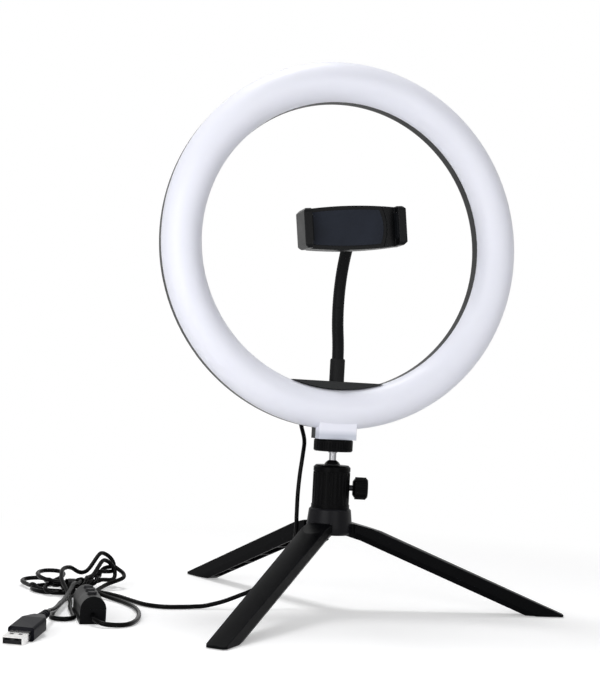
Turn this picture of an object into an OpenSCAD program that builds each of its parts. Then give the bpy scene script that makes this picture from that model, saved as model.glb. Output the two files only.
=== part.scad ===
// Ring light for a desk: a lit ring on a ball head and a folding tripod, with a phone clamp
// on a bendable arm and a USB lead that carries its own control box.
// Millimetres, +Z up. The ring faces -Y. The origin is on the floor under the middle of the object.

/* [Ring] */
// Outside diameter of the ring
ring_d = 260; // [240:1:280]
// Width of the lit band, from its outer edge to its inner edge
band_w = 28; // [26:0.5:32]
// Depth of the rear shell behind the seam
shell_depth = 13; // [12:0.5:16]
// Rounding of the rear shell's back edges
shell_round = 5; // [4:0.5:6]
// Wall of the diffuser and of the rear shell
ring_wall = 2; // [1.6:0.1:2.4]
// Screws that hold the shell to the diffuser
shell_screw_count = 8; // [6:1:10]
// Light chips in each of the two rows
chip_count = 48; // [36:4:60]

/* [Foot block] */
// Width of the block under the ring
block_w = 27; // [25:0.5:30]
// Depth of each half of the block, before and behind the seam
block_half = 10; // [9:0.5:12]
// Height of the block below the ring
block_h = 6.7; // [6.5:0.1:9]

/* [Ball head] */
// Diameter of the ball
ball_d = 12.6; // [12:0.2:13.4]
// Height of the housing's rim above the ball's centre
rim_rise = 2.3; // [2:0.1:2.6]
// Outside diameter of the housing at its foot
housing_d = 26.8; // [25:0.2:29]
// Taper of the housing's diameter towards its rim
housing_taper = 0.8; // [0:0.1:1.2]
// Height of the housing
housing_h = 29.8; // [28:0.2:34]
// Grip ribs round the housing
rib_count = 28; // [20:2:32]
// Distance from the ball's centre to the lock disc
neck_rise = 11.9; // [11.8:0.1:15]
// Diameter of the steel neck
neck_d = 5; // [4.4:0.1:5.4]
// Diameter of the quarter-inch thread
thread_d = 6.35; // [6:0.05:6.5]
// Diameter of the lock disc
disc_d = 27.5; // [25:0.5:28]
// Thickness of the lock disc
disc_h = 8.4; // [6:0.2:10]
// Diameter of the lock knob
knob_d = 15.6; // [13:0.2:17]
// Length of the lock knob
knob_l = 10.6; // [9:0.2:14]
// Depth of the knob's axis below the ball's centre
knob_drop = 13.1; // [12.9:0.1:13.7]
// Direction that the knob points, round the stand from +X
knob_azimuth = -15; // [-60:1:20]

/* [Tripod] */
// Height of the hub's underside above the floor
hub_z = 52.5; // [50:0.5:58]
// Height of the hub
hub_h = 18; // [17:0.5:22]
// Diameter of the hub's skirt
hub_d = 32.4; // [31:0.2:36]
// Diameter of the hub's top
hub_top_d = 29.5; // [29:0.1:31]
// Distance of the leg pins from the stand's axis
pin_r = 9; // [8.6:0.1:9.4]
// Diameter of the leg pins
pin_d = 3; // [2.4:0.1:3.4]
// Radius of a leg's knuckle
knuckle_r = 3.9; // [3.4:0.1:4.2]
// Width of a leg's knuckle
knuckle_w = 12; // [10:0.2:12.4]
// Slope of an open leg below the level
leg_slope = 21.7; // [20:0.1:24]
// Height of a leg's top face above its pin, square to the leg
leg_rise = 9.7; // [9:0.1:11]
// Depth of a leg, square to its length
leg_depth = 12; // [10:0.2:12.4]
// Width of a leg at the hub
leg_w = 18; // [15:0.5:18.5]
// Width of a leg at its tip
tip_w = 13.5; // [11:0.5:15]
// Reach of the leg tips from the stand's axis
leg_reach = 171.5; // [150:0.5:171.5]
// Direction of the first leg, round the stand from +X
leg_azimuth = -8; // [-30:1:30]
// Wall of the hollow underside of a leg
leg_wall = 2.2; // [1.6:0.1:3]

/* [Arm and clamp] */
// Height of the flat seat of the arm above the ring's inside edge
seat_rise = 5.8; // [5:0.1:9]
// Diameter of the bendable arm
arm_d = 8.3; // [7:0.1:9]
// Diameter of the sleeves on the arm's ends
sleeve_d = 10.5; // [10:0.1:12]
// Length of the lower sleeve
ferrule_l = 16; // [12:0.5:22]
// Angle that the arm leans back above its lower sleeve
arm_back = 17; // [12:0.5:20]
// Angle that the arm's top leans forward
arm_over = 40; // [32:1:46]
// Radius of the arm's lower bend, back
back_r = 55; // [50:1:70]
// Radius of the arm's upper bend, forward
over_r = 68; // [60:1:72]
// Bend radius of the elbow behind the clamp
elbow_r = 11; // [9:0.5:14]
// Diameter of the clamp's ball
clamp_ball_d = 11; // [10:0.2:11.6]
// Length of the clamp to the left of its ball
clamp_left = 44; // [42:0.5:48]
// Length of the closed clamp to the right of its ball
clamp_right = 27; // [26:0.5:32]
// Height of the clamp at its ends
clamp_end_h = 25.2; // [24.6:0.2:29]
// Extra height of the clamp at the middle of its bowed edges
clamp_bow = 4.4; // [2:0.2:6]
// Angle that the clamp is turned on its ball, its right end up
clamp_turn = 6.5; // [-15:0.5:15]
// Depth of the clamp's body from back to front
clamp_depth = 12; // [11:0.5:15]
// Reach of the jaws in front of the body
jaw_reach = 8; // [7:0.5:14]
// Thickness of a jaw
jaw_t = 5.4; // [4.6:0.2:7]
// Travel of the sliding jaw
jaw_travel = 24; // [15:1:26]

/* [Lead] */
// Diameter of the lead
cord_d = 3; // [2.6:0.1:3.4]
// Length of the control box
box_l = 48; // [44:1:60]
// Width of the control box
box_w = 16; // [14:0.5:18]
// Height of the control box's straight sides
box_side = 9; // [7:0.5:11]
// Wall of the control box
box_wall = 1.6; // [1.2:0.1:2]
// Diameter of a button
button_d = 6; // [4:0.2:7]
// Travel of a button
button_travel = 0.6; // [0.3:0.1:1]

/* [Clearances] */
// Running clearance of a pin or shaft, at the radius
run_gap = 0.06; // [0.03:0.01:0.1]
// Clearance of a seated piece, at each side
seat_gap = 0.05; // [0.02:0.01:0.1]
// Gap between parts that turn or slide past each other
slide_gap = 0.3; // [0.2:0.05:0.4]
// Gap between flat faces that turn on each other
turn_gap = 0.1; // [0.05:0.05:0.2]
// Gap between the balls and their sockets
socket_gap = 0.15; // [0.1:0.05:0.2]

/* [Hidden] */
$fn = 64;
cut = 0.5;    // overrun of a cut past the face that it opens

// Stack of heights up the stand's axis
hub_top = hub_z + hub_h;
housing_z = hub_top + turn_gap;
rim_z = housing_z + housing_h;
ball_z = rim_z - rim_rise;
disc_z = ball_z + neck_rise;
block_z = disc_z + disc_h + turn_gap;
ring_r = ring_d / 2;
ring_z = block_z + block_h + ring_r;
knob_z = ball_z - knob_drop;

// Ring section and what sits in it
band_r = ring_r - band_w / 2;
inner_r = ring_r - band_w;
floor_depth = shell_depth - ring_wall;
board_t = 1.6;
board_front = 3.4;              // board's front face behind the seam
board_back = board_front + board_t;
post_r = 3.2;                   // diffuser's screw posts and the shell's bosses
shell_screw_d = 2.8;
shell_head_d = 5.2;
shell_head_h = 1.6;
chip_size = [3.5, 2.8, 0.8];
chip_offset = 5.5;              // rows of chips each side of the band's middle
nut_af = 11.1;                  // hexagon nut across its flats
nut_h = 5.6;
nut_floor = 1.2;                // wall under the nut
stud_top = block_z + nut_floor + nut_h - 0.4;
gland = [-19, -114.25];         // place of the gland on the shell's back, from the ring's centre
gland_tilt = 45;
gland_l = 10;
gland_root_d = 6.8;
gland_flange_d = 9.4;
gland_flange_t = 1.2;

// Ball head
ball_r = ball_d / 2;
socket_r = ball_r + socket_gap;
cup_bore_r = socket_r + 0.15;
rim_chamfer = 1.5;
slot_w = neck_d + 4 * slide_gap;
base_d = 18;                    // plug that closes the foot of the housing
base_h = 6.4;
cup_h = 5.5;
cup_cone_h = 3.2;
cup_z = ball_z - ball_r - 1.8;  // foot of the cup's cylinder
knob_screw_d = 4;
knob_tip = cup_bore_r / 2 + 0.6;
knob_start = housing_d / 2 + 1.6;
lobe_count = 12;
lobe_d = 2.4;
disc_flutes = 40;
flute_d = 1.2;

// Hub and legs
leg_azimuths = [leg_azimuth, leg_azimuth + 120, leg_azimuth + 240];
hub_r = hub_d / 2;
pin_z = hub_z + knuckle_r + 0.1;
pin_half = 11;
stud_sink = 8.5;
stud_rise = base_h - 0.4;
leg_gap = 0.2;                  // each side of a knuckle in its slot
leg_start = hub_r + 0.8;        // where the full width of a leg begins
shoulder_u = 31;
foot_t = 2;
foot_proud = 0.6;
foot_in = leg_reach - 20.5;
foot_out = leg_reach - 8.5;
foot_w = 8;
nose_round = 3;
crown_r = 30;
crown_over = 0.5;               // blank above the crown before it is cut
bevel_t = 2.6;                  // bevel along a leg's lower edges: how far it cuts in
bevel_w = 4;                    // and how far up the side it runs
cell_count = 5;
cell_start = 26;
cell_l = 21;
cell_rib = 1.8;

// Middle of the object's outline on the floor, from the stand's axis
stand_x = -(leg_reach * cos(leg_azimuths[0]) - ring_r) / 2;
stand_y = -(leg_reach * (sin(leg_azimuths[1]) + sin(leg_azimuths[2]))) / 2;

// Arm: heights are from the floor, depths from the stand's axis
seat_z = ring_z - inner_r + seat_rise;
seat_front = 5;
stub_d = 5;
stub_l = 4;
arm_base = seat_z + 5;
curve_z = seat_z + ferrule_l;
bend_y = back_r * (1 - cos(arm_back));             // where the two bends meet
bend_z = curve_z + back_r * sin(arm_back);
arm_end_y = bend_y + over_r * (cos(arm_over) - cos(arm_back));
arm_end_z = bend_z + over_r * (sin(arm_over) + sin(arm_back));
arm_tip = 4.5;                  // arm's straight end inside the elbow's sleeve
sleeve_l = arm_tip + 0.5;
elbow_y = arm_end_y - sleeve_l * sin(arm_over) - elbow_r * cos(arm_over);
clamp_z = arm_end_z + sleeve_l * cos(arm_over) + elbow_r * (1 - sin(arm_over));
elbow_nose = 1.5;
clamp_ball_r = clamp_ball_d / 2;
clamp_ball_y = elbow_y - 8;
clamp_neck_d = 4.4;

// Clamp: depths run forward from its back face
clamp_y = clamp_ball_y - 4;
back_t = 3;
socket_d = 16;
nut_d = 21;
nut_lip = 3.4;                  // nut's lip behind the ball's centre
nut_wall = 1;
clamp_mid = (clamp_right - clamp_left) / 2;
clamp_half = (clamp_right + clamp_left) / 2;
bow_r = (pow(clamp_half, 2) + pow(clamp_bow / 2, 2)) / clamp_bow;
jaw_seam = clamp_right - 11.2;  // where the body's curved end reaches furthest
seam_r = 30;                    // curve of the body's end
jaw_extra = 1.2;                // a jaw's finger over the height of the clamp's end
jaw_round = 3;
jaw_chamfer = 2;                // on the outside corners of a jaw
tray_h = clamp_end_h - 7;
tray_wall = 2;
tongue_h = tray_h - 2 * slide_gap;
tongue_end = 23 - clamp_left;
pad_t = 0.8;
pad_inset = 2.8;                // rim of the body that shows round its pad
jaw_pad_t = 1;
jaw_pad_h = 18;
spring_d = 4.4;
spring_wire = 0.7;
spring_turns = 7;
spring_gap_z = 6;
clamp_screw_d = 2;
screw_in = [11, 8.8];           // screws from the clamp's left end and from its seam
screw_edge = 2.2;
clamp_screw_head = 3.6;

// Routes of the lead, from the stand's axis, as it hangs and lies
gland_out = gland_l + slide_gap;
gland_tip = [
    gland[0], shell_depth + gland_out * sin(gland_tilt), ring_z + gland[1] - gland_out * cos(gland_tilt)
];
drop_route = [
    gland_tip, [-18.8, 22.8, 130.6], [-17.6, 21.5, 125], [-17, 15, 116], [-19, 10, 106], [-21, 8, 92], [-22, 7, 78],
    [-22, 7, 64], [-22, 7, 50], [-27, 5, 34], [-43, -1, 18], [-68, -3, 7], [-84, -3.8, 2.6], [-93, -4.6, 1.8]
];
lead_route = [
    [-93.5, -4.65, 1.8], [-104, -6, 1.7], [-115, -5.6, 1.7], [-125, 2, 1.7], [-132, 16, 1.7], [-139, 31, 2.2],
    [-145, 40, 4.5], [-149.1, 46.3, 6]
];
loop_route = [
    [-167, -60.2, 6], [-166, -67, 4], [-158, -72, 2], [-146, -68, 1.7], [-137, -52, 1.7], [-133, -30, 1.7],
    [-134, -8, 1.7], [-140, 12, 1.7], [-148, 28, 3], [-153.5, 38, 5], [-155.8, 45.4, 6]
];
link_route = [[-167, -11.8, 6], [-167, -2, 6], [-166, 14, 4], [-165, 30, 4.5], [-165, 40.8, 5.5]];
tail_route = [
    [-178.5, 40.6, 6.5], [-177.6, 33, 7.6], [-177.2, 20, 7.6], [-180, 0, 6.2], [-184.5, -22, 5.6], [-190, -48, 7],
    [-195.9, -74.5, 9.7]
];

// Hank: two lobes of folded lead that meet at the tie
hank_h = 15;
hank_tie = [-172, 47];
lobe_left_w = 26;
lobe_right_w = 28;
lobe_left = [[-189, 57], [-204, 85], lobe_left_w];
lobe_right = [[-154, 60], [-136, 106], lobe_right_w];
waist = [22, 12, 9];
tie_w = 5;
tie_t = 0.9;

// Control box and plug on the lead
box_at = [-167, -60, 0];
box_r = box_w / 2;
box_top = box_side + box_r;
button_rise = 1.2;
button_pitch = 12;
button_flange = 1;
plug_at = [-217.6, -122.1, 0];
plug_yaw = 65.5;
plug_pitch = 8;
usb_shell_size = [12.5, 12, 4.5];
usb_body_size = [27, 15.6, 8.2];
usb_relief_l = 13;
usb_wall = 0.5;

function along(u, w) = [
    pin_r + u * cos(leg_slope) + w * sin(leg_slope),
    pin_z - u * sin(leg_slope) + w * cos(leg_slope)
];
function top_at(r) = pin_z + (leg_rise - (r - pin_r) * sin(leg_slope)) / cos(leg_slope);

module at_stand() {
    translate([stand_x, stand_y, 0]) children();
}

// Local x to the right, y up and z forward, from the middle of the ring's seam
module in_ring() {
    at_stand() translate([0, 0, ring_z]) rotate([90, 0, 0]) children();
}

module round_copies(count, first = 0) {
    for (i = [0:count - 1]) rotate([0, 0, first + i * 360 / count]) children();
}

module tube_ring(outer, inner, height) {
    difference() {
        cylinder(d = outer, h = height);
        translate([0, 0, -cut]) cylinder(d = inner, h = height + 2 * cut);
    }
}

// Upright slab with round ends between two points on the floor
module slab(a, b, width, height) {
    reach = norm(b - a);
    side = width - 0.4;
    translate([a[0], a[1], 0]) rotate([0, 0, atan2(b[1] - a[1], b[0] - a[0])]) union() {
        cylinder(d = width, h = height);
        translate([reach, 0, 0]) cylinder(d = width, h = height);
        translate([0, -side / 2, 0]) cube([reach, side, height]);
    }
}

// Rectangle with its corners rounded by true arcs, centred
module soft_square(w, h, r) {
    union() {
        square([w - 2 * r, h], center = true);
        square([w, h - 2 * r], center = true);
        for (x = [-1, 1], y = [-1, 1]) translate([x * (w / 2 - r), y * (h / 2 - r)]) circle(r);
    }
}

// Ring

// Half-round section of the lit band
module band_section(d) {
    intersection() {
        translate([band_r, 0]) circle(d = d);
        translate([band_r - d / 2, 0]) square([d, d / 2]);
    }
}

// Section of the rear shell, with round back edges
module shell_section(w, depth, r) {
    translate([band_r, 0]) union() {
        translate([-w / 2, r - depth]) square([w, depth - r]);
        translate([r - w / 2, -depth]) square([w - 2 * r, depth]);
        for (side = [-1, 1]) translate([side * (w / 2 - r), r - depth]) circle(r);
    }
}

module at_shell_screws() {
    round_copies(shell_screw_count, 180 / shell_screw_count) translate([band_r, 0, 0]) children();
}

// Room for the nut and the stud in both halves of the foot block
module nut_pocket() {
    translate([0, block_z - ring_z, 0]) rotate([-90, 0, 0]) {
        translate([0, 0, nut_floor]) rotate([0, 0, 30])
            cylinder(d = (nut_af + 2 * seat_gap) / cos(30), h = nut_h + seat_gap, $fn = 6);
        translate([0, 0, -cut]) cylinder(d = thread_d + 4 * slide_gap, h = nut_floor + 2 * cut);
    }
}

module diffuser() {
    color("white") in_ring() difference() {
        union() {
            difference() {
                union() {
                    rotate_extrude($fn = 180) band_section(band_w);
                    translate([-block_w / 2, block_z - ring_z, 0]) cube([block_w, block_h + 6, block_half]);
                }
                translate([0, 0, -cut]) rotate_extrude($fn = 180)
                    translate([inner_r + ring_wall, 0]) square([band_w - 2 * ring_wall, cut]);
                rotate_extrude($fn = 180) band_section(band_w - 2 * ring_wall);
            }
            at_shell_screws() translate([0, 0, -board_front])
                cylinder(r = post_r, h = board_front + band_w / 2 - ring_wall / 2);
        }
        at_shell_screws() translate([0, 0, -board_front - cut]) cylinder(d = shell_screw_d, h = 9);
        nut_pocket();
    }
}

module rear_shell() {
    color("#17181a") in_ring() difference() {
        union() {
            difference() {
                union() {
                    rotate_extrude($fn = 180) shell_section(band_w, shell_depth, shell_round);
                    translate([-block_w / 2, block_z - ring_z, -block_half]) cube([block_w, block_h + 3, block_half]);
                }
                translate([0, 0, cut]) rotate_extrude($fn = 180)
                    shell_section(band_w - 2 * ring_wall, floor_depth + cut, shell_round - ring_wall);
            }
            arm_seat();
            at_shell_screws() translate([0, 0, -floor_depth - ring_wall / 2])
                cylinder(r = post_r, h = floor_depth + ring_wall / 2 - board_back);
        }
        at_shell_screws() {
            translate([0, 0, -shell_depth - cut]) cylinder(d = shell_screw_d + 2 * slide_gap, h = shell_depth);
            translate([0, 0, -shell_depth - cut]) cylinder(d = shell_head_d + 2 * slide_gap, h = shell_head_h + cut);
        }
        translate([gland[0], gland[1], -shell_depth - cut])
            cylinder(d = gland_root_d + 2 * seat_gap, h = ring_wall + 2 * cut);
        translate([0, seat_z - ring_z, 0]) rotate([90, 0, 0]) translate([0, 0, -cut])
            cylinder(d = stub_d + 2 * seat_gap, h = stub_l + cut + seat_gap);
        nut_pocket();
    }
}

// Flat-topped seat of the arm, which fills the bottom of the ring's opening
module arm_seat() {
    intersection() {
        union() {
            translate([0, 0, -floor_depth]) cylinder(r = inner_r + ring_wall / 2, h = floor_depth, $fn = 180);
            cylinder(r = inner_r - slide_gap, h = seat_front, $fn = 180);
        }
        translate([-inner_r, -ring_r, -floor_depth])
            cube([2 * inner_r, ring_r - (ring_z - seat_z), floor_depth + seat_front]);
    }
}

module led_board() {
    color("whitesmoke") in_ring() translate([0, 0, -board_back]) difference() {
        cylinder(r = ring_r - ring_wall - slide_gap, h = board_t, $fn = 180);
        translate([0, 0, -cut]) cylinder(r = inner_r + ring_wall + slide_gap, h = board_t + 2 * cut, $fn = 180);
        at_shell_screws() translate([0, 0, -cut]) cylinder(d = shell_screw_d + 2 * slide_gap, h = board_t + 2 * cut);
    }
}

module led_chips() {
    color("gold") in_ring() translate([0, 0, -board_front])
        for (row = [-1, 1])
            round_copies(chip_count, (row + 1) * 90 / chip_count)
                translate([band_r + row * chip_offset, 0, chip_size[2] / 2]) cube(chip_size, center = true);
}

module shell_screws() {
    color("dimgray") in_ring() at_shell_screws() {
        translate([0, 0, -shell_depth]) cylinder(d = shell_head_d, h = shell_head_h);
        translate([0, 0, -shell_depth]) cylinder(d = shell_screw_d - 2 * seat_gap, h = shell_depth + 5);
    }
}

module mount_nut() {
    color("#b08d57") at_stand() translate([0, 0, block_z + nut_floor]) difference() {
        rotate([0, 0, 30]) cylinder(d = nut_af / cos(30), h = nut_h, $fn = 6);
        translate([0, 0, -cut]) cylinder(d = thread_d + 2 * run_gap, h = nut_h + 2 * cut);
    }
}

module cord_gland() {
    color("#101112") in_ring() translate([gland[0], gland[1], -shell_depth]) {
        translate([0, 0, -gland_flange_t]) cylinder(d = gland_flange_d, h = gland_flange_t);
        cylinder(d = gland_root_d, h = ring_wall);
        intersection() {
            rotate([180 - gland_tilt, 0, 0]) translate([0, 0, -gland_l])
                cylinder(d1 = gland_root_d, d2 = cord_d + 1.6, h = 2 * gland_l);
            translate([-gland_l, -2 * gland_l, -2 * gland_l]) cube([2 * gland_l, 3 * gland_l, 2 * gland_l]);
        }
    }
}

// Ball head

module lock_disc() {
    color("#151516") at_stand() translate([0, 0, disc_z]) difference() {
        union() {
            translate([0, 0, 0.8]) cylinder(d = disc_d, h = disc_h - 1.6);
            cylinder(d1 = disc_d - 1.6, d2 = disc_d, h = 0.8);
            translate([0, 0, disc_h - 0.8]) cylinder(d1 = disc_d, d2 = disc_d - 1.6, h = 0.8);
        }
        translate([0, 0, -cut]) cylinder(d = thread_d + 2 * run_gap, h = disc_h + 2 * cut);
        round_copies(disc_flutes) translate([disc_d / 2 + flute_d / 4, 0, 1.4])
            cylinder(d = flute_d, h = disc_h - 2.8);
    }
}

module head_stud() {
    color("silver") at_stand() {
        translate([0, 0, ball_z - ball_r / 2]) cylinder(d = neck_d, h = ball_r / 2 + neck_rise - 1);
        translate([0, 0, disc_z - 1]) cylinder(d = thread_d, h = stud_top - disc_z + 1);
    }
}

module head_ball() {
    color("#1b1b1c") at_stand() translate([0, 0, ball_z]) difference() {
        sphere(r = ball_r, $fn = 96);
        translate([0, 0, -ball_r / 2]) cylinder(d = neck_d + 2 * seat_gap, h = 2 * ball_r);
    }
}

module head_housing() {
    top_d = housing_d - housing_taper;
    rib_h = housing_h - 7;
    color("#161617") at_stand() translate([0, 0, housing_z]) difference() {
        union() {
            cylinder(d1 = housing_d - 1.2, d2 = top_d - 1.2, h = housing_h - rim_chamfer);
            cylinder(d = housing_d, h = 2.4);
            translate([0, 0, housing_h - rim_chamfer - 3]) cylinder(d = top_d, h = 3);
            translate([0, 0, housing_h - rim_chamfer])
                cylinder(d1 = top_d, d2 = top_d - 2 * rim_chamfer, h = rim_chamfer);
            round_copies(rib_count) translate([top_d / 2 - 0.9, 0, 2]) cylinder(r = 0.9, h = rib_h);
        }
        translate([0, 0, ball_z - housing_z]) {
            sphere(r = socket_r, $fn = 96);
            translate([0, 0, -2 * socket_r - housing_h]) cylinder(r = cup_bore_r, h = 2 * socket_r + housing_h);
            rotate([-90, 0, 0]) cylinder(d = slot_w, h = housing_d);
            translate([-slot_w / 2, 0, 0]) cube([slot_w, housing_d, housing_h]);
        }
        translate([0, 0, -cut]) cylinder(d = base_d + 2 * seat_gap, h = base_h + cut + seat_gap);
        rotate([0, 0, knob_azimuth]) translate([0, 0, knob_z - housing_z]) rotate([0, 90, 0])
            cylinder(d = knob_screw_d + 2 * run_gap, h = housing_d);
    }
}

module head_base() {
    color("gray") at_stand() translate([0, 0, housing_z]) tube_ring(base_d, thread_d + 2 * run_gap, base_h);
}

module brake_cup() {
    color("ivory") at_stand() difference() {
        union() {
            translate([0, 0, cup_z]) cylinder(r = cup_bore_r - seat_gap, h = cup_h);
            translate([0, 0, cup_z - cup_cone_h])
                cylinder(r1 = cup_bore_r / 2, r2 = cup_bore_r - seat_gap, h = cup_cone_h);
        }
        translate([0, 0, ball_z]) sphere(r = socket_r, $fn = 96);
    }
}

module in_knob() {
    at_stand() rotate([0, 0, knob_azimuth]) translate([0, 0, knob_z]) rotate([0, 90, 0]) children();
}

module lock_knob() {
    color("#121213") in_knob() translate([0, 0, knob_start]) difference() {
        union() {
            translate([0, 0, 1.6]) cylinder(d = knob_d - lobe_d * 0.6, h = knob_l - 2.4);
            cylinder(d1 = knob_d * 0.62, d2 = knob_d - lobe_d * 0.6, h = 1.6);
            translate([0, 0, knob_l - 0.8]) cylinder(d1 = knob_d - lobe_d * 0.6, d2 = knob_d - lobe_d * 1.4, h = 0.8);
            round_copies(lobe_count) translate([(knob_d - lobe_d) / 2, 0, 1.6])
                cylinder(d = lobe_d, h = knob_l - 2.8);
        }
        translate([0, 0, -cut]) cylinder(d = knob_screw_d + 2 * seat_gap, h = knob_l * 0.7 + cut);
    }
}

module knob_screw() {
    color("silver") in_knob() {
        translate([0, 0, knob_tip + 1.6]) cylinder(d = knob_screw_d, h = knob_start + knob_l * 0.7 - knob_tip - 1.6);
        translate([0, 0, knob_tip]) cylinder(d1 = 0.8, d2 = knob_screw_d, h = 1.6);
    }
}

// Tripod

module toward(azimuth) {
    at_stand() rotate([0, 0, azimuth]) children();
}

module hub() {
    ceiling = pin_z + knuckle_r + turn_gap;
    color("#1d1d20") difference() {
        at_stand() rotate_extrude() polygon([
            [0, hub_z], [hub_r - 1.2, hub_z], [hub_r, hub_z + 1.6], [hub_r, hub_z + 4.5],
            [hub_top_d / 2, hub_top - 1], [hub_top_d / 2 - 1, hub_top], [0, hub_top]
        ]);
        for (azimuth = leg_azimuths) toward(azimuth) {
            translate([pin_r - knuckle_r - slide_gap, -knuckle_w / 2 - leg_gap, hub_z - cut])
                cube([hub_r, knuckle_w + 2 * leg_gap, ceiling - hub_z + cut]);
            translate([pin_r, 0, pin_z]) rotate([90, 0, 0])
                cylinder(d = pin_d + 2 * seat_gap, h = 2 * (pin_half + seat_gap), center = true);
        }
        at_stand() translate([0, 0, hub_top - stud_sink])
            cylinder(d = thread_d + 2 * seat_gap, h = stud_sink + cut);
    }
}

module hub_stud() {
    color("silver") at_stand() translate([0, 0, hub_top - stud_sink]) cylinder(d = thread_d, h = stud_sink + stud_rise);
}

module hinge_pins() {
    color("silver") for (azimuth = leg_azimuths) toward(azimuth)
        translate([pin_r, 0, pin_z]) rotate([90, 0, 0]) cylinder(d = pin_d, h = 2 * pin_half, center = true);
}

// Frame of a leg: x down its length from the pin, y across it and z square to its top face
module in_leg() {
    translate([pin_r, 0, pin_z]) rotate([0, leg_slope, 0]) children();
}

module leg_side() {
    low = leg_rise - leg_depth;
    low_end = (pin_z - foot_proud + low * cos(leg_slope)) / sin(leg_slope);
    union() {
        translate([pin_r, pin_z]) circle(knuckle_r);
        polygon([
            [pin_r, pin_z - knuckle_r], along(14, low), along(low_end, low), [leg_reach, foot_proud],
            [leg_reach, top_at(leg_reach) + crown_over], along(shoulder_u, leg_rise + crown_over),
            [leg_start + 0.6, pin_z + knuckle_r], [pin_r, pin_z + knuckle_r]
        ]);
    }
}

module leg_plan() {
    nose = leg_reach - nose_round;
    union() {
        translate([pin_r - knuckle_r, -knuckle_w / 2]) square([leg_start, knuckle_w]);
        polygon([
            [leg_start, -leg_w / 2], [nose, -tip_w / 2], [nose, tip_w / 2], [leg_start, leg_w / 2]
        ]);
        translate([nose - cut, nose_round - tip_w / 2]) square([nose_round + cut, tip_w - 2 * nose_round]);
        for (side = [-1, 1]) translate([nose, side * (tip_w / 2 - nose_round)]) circle(nose_round);
    }
}

module foot_shape(gap) {
    soft_square(foot_out - foot_in + 2 * gap, foot_w + 2 * gap, 2 + gap);
}

// One leg in its own direction: crowned on top, bevelled along its lower edges and hollow underneath
module leg(azimuth) {
    low = leg_rise - leg_depth;
    leg_l = (leg_reach - leg_start) / cos(leg_slope);
    taper = atan((leg_w - tip_w) / 2 / leg_l);
    color("#131415") toward(azimuth) difference() {
        intersection() {
            rotate([90, 0, 0]) linear_extrude(leg_w + 2, center = true) leg_side();
            linear_extrude(hub_top) leg_plan();
            in_leg() translate([-20, 0, leg_rise - crown_r]) rotate([0, 90, 0]) cylinder(r = crown_r, h = 2 * leg_reach);
        }
        for (side = [-1, 1]) in_leg() translate([leg_start - pin_r, side * leg_w / 2, low])
            rotate([0, 0, -side * taper]) translate([-cut, -side * bevel_t, 0])
            rotate([side * atan(bevel_w / bevel_t), 0, 0])
            translate([0, side < 0 ? -2 * leg_w : 0, -leg_depth]) cube([leg_l + leg_depth, 2 * leg_w, leg_depth]);
        for (i = [0:cell_count - 1]) {
            u = cell_start + i * (cell_l + cell_rib);
            w = leg_w - (leg_w - tip_w) * (u + cell_l) / leg_l - 2 * (bevel_t + leg_wall / 2);
            in_leg() translate([u, -w / 2, low - cut]) cube([cell_l, w, leg_depth + cut - leg_wall - 0.8]);
        }
        translate([pin_r, 0, pin_z]) rotate([90, 0, 0]) cylinder(d = pin_d + 2 * run_gap, h = 2 * leg_w, center = true);
        translate([(foot_in + foot_out) / 2, 0, -cut]) linear_extrude(foot_t + cut) foot_shape(seat_gap);
    }
}

module foot(azimuth) {
    color("#2a2b2c") toward(azimuth) translate([(foot_in + foot_out) / 2, 0, 0]) linear_extrude(foot_t) foot_shape(0);
}

module leg_right() { leg(leg_azimuths[0]); }
module leg_rear() { leg(leg_azimuths[1]); }
module leg_front() { leg(leg_azimuths[2]); }
module foot_right() { foot(leg_azimuths[0]); }
module foot_rear() { foot(leg_azimuths[1]); }
module foot_front() { foot(leg_azimuths[2]); }

// Bendable arm

module arm_ferrule() {
    color("#1c1d1e") at_stand() {
        translate([0, 0, seat_z - stub_l]) cylinder(d = stub_d, h = stub_l + 1);
        translate([0, 0, seat_z]) difference() {
            union() {
                cylinder(d = sleeve_d, h = ferrule_l - 1);
                translate([0, 0, ferrule_l - 1]) cylinder(d1 = sleeve_d, d2 = sleeve_d - 1, h = 1);
            }
            translate([0, 0, arm_base - seat_z]) cylinder(d = arm_d + 2 * seat_gap, h = ferrule_l);
        }
    }
}

// The arm bends back and then forward in two arcs; a short straight length joins the arcs, and
// straight ends sit in the sleeves
module gooseneck() {
    spare = 0.5;
    color("#141515") at_stand() union() {
        translate([0, 0, arm_base]) cylinder(d = arm_d - 0.1, h = curve_z - arm_base + 1);
        translate([0, back_r, curve_z]) rotate([90, 0, -90]) rotate_extrude(angle = arm_back - spare)
            translate([back_r, 0]) circle(d = arm_d);
        translate([0, bend_y, bend_z]) rotate([-arm_back, 0, 0])
            cylinder(d = arm_d + 0.1, h = 4, center = true);
        translate([0, bend_y - over_r * cos(arm_back), bend_z + over_r * sin(arm_back)]) rotate([90, 0, 90])
            rotate([0, 0, spare - arm_back]) rotate_extrude(angle = arm_back + arm_over - spare)
                translate([over_r, 0]) circle(d = arm_d);
        at_arm_end() translate([0, 0, -1]) cylinder(d = arm_d - 0.1, h = arm_tip + 1);
    }
}

// Place of the arm's upper end, with z on along the arm
module at_arm_end() {
    translate([0, arm_end_y, arm_end_z]) rotate([arm_over, 0, 0]) children();
}

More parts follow.
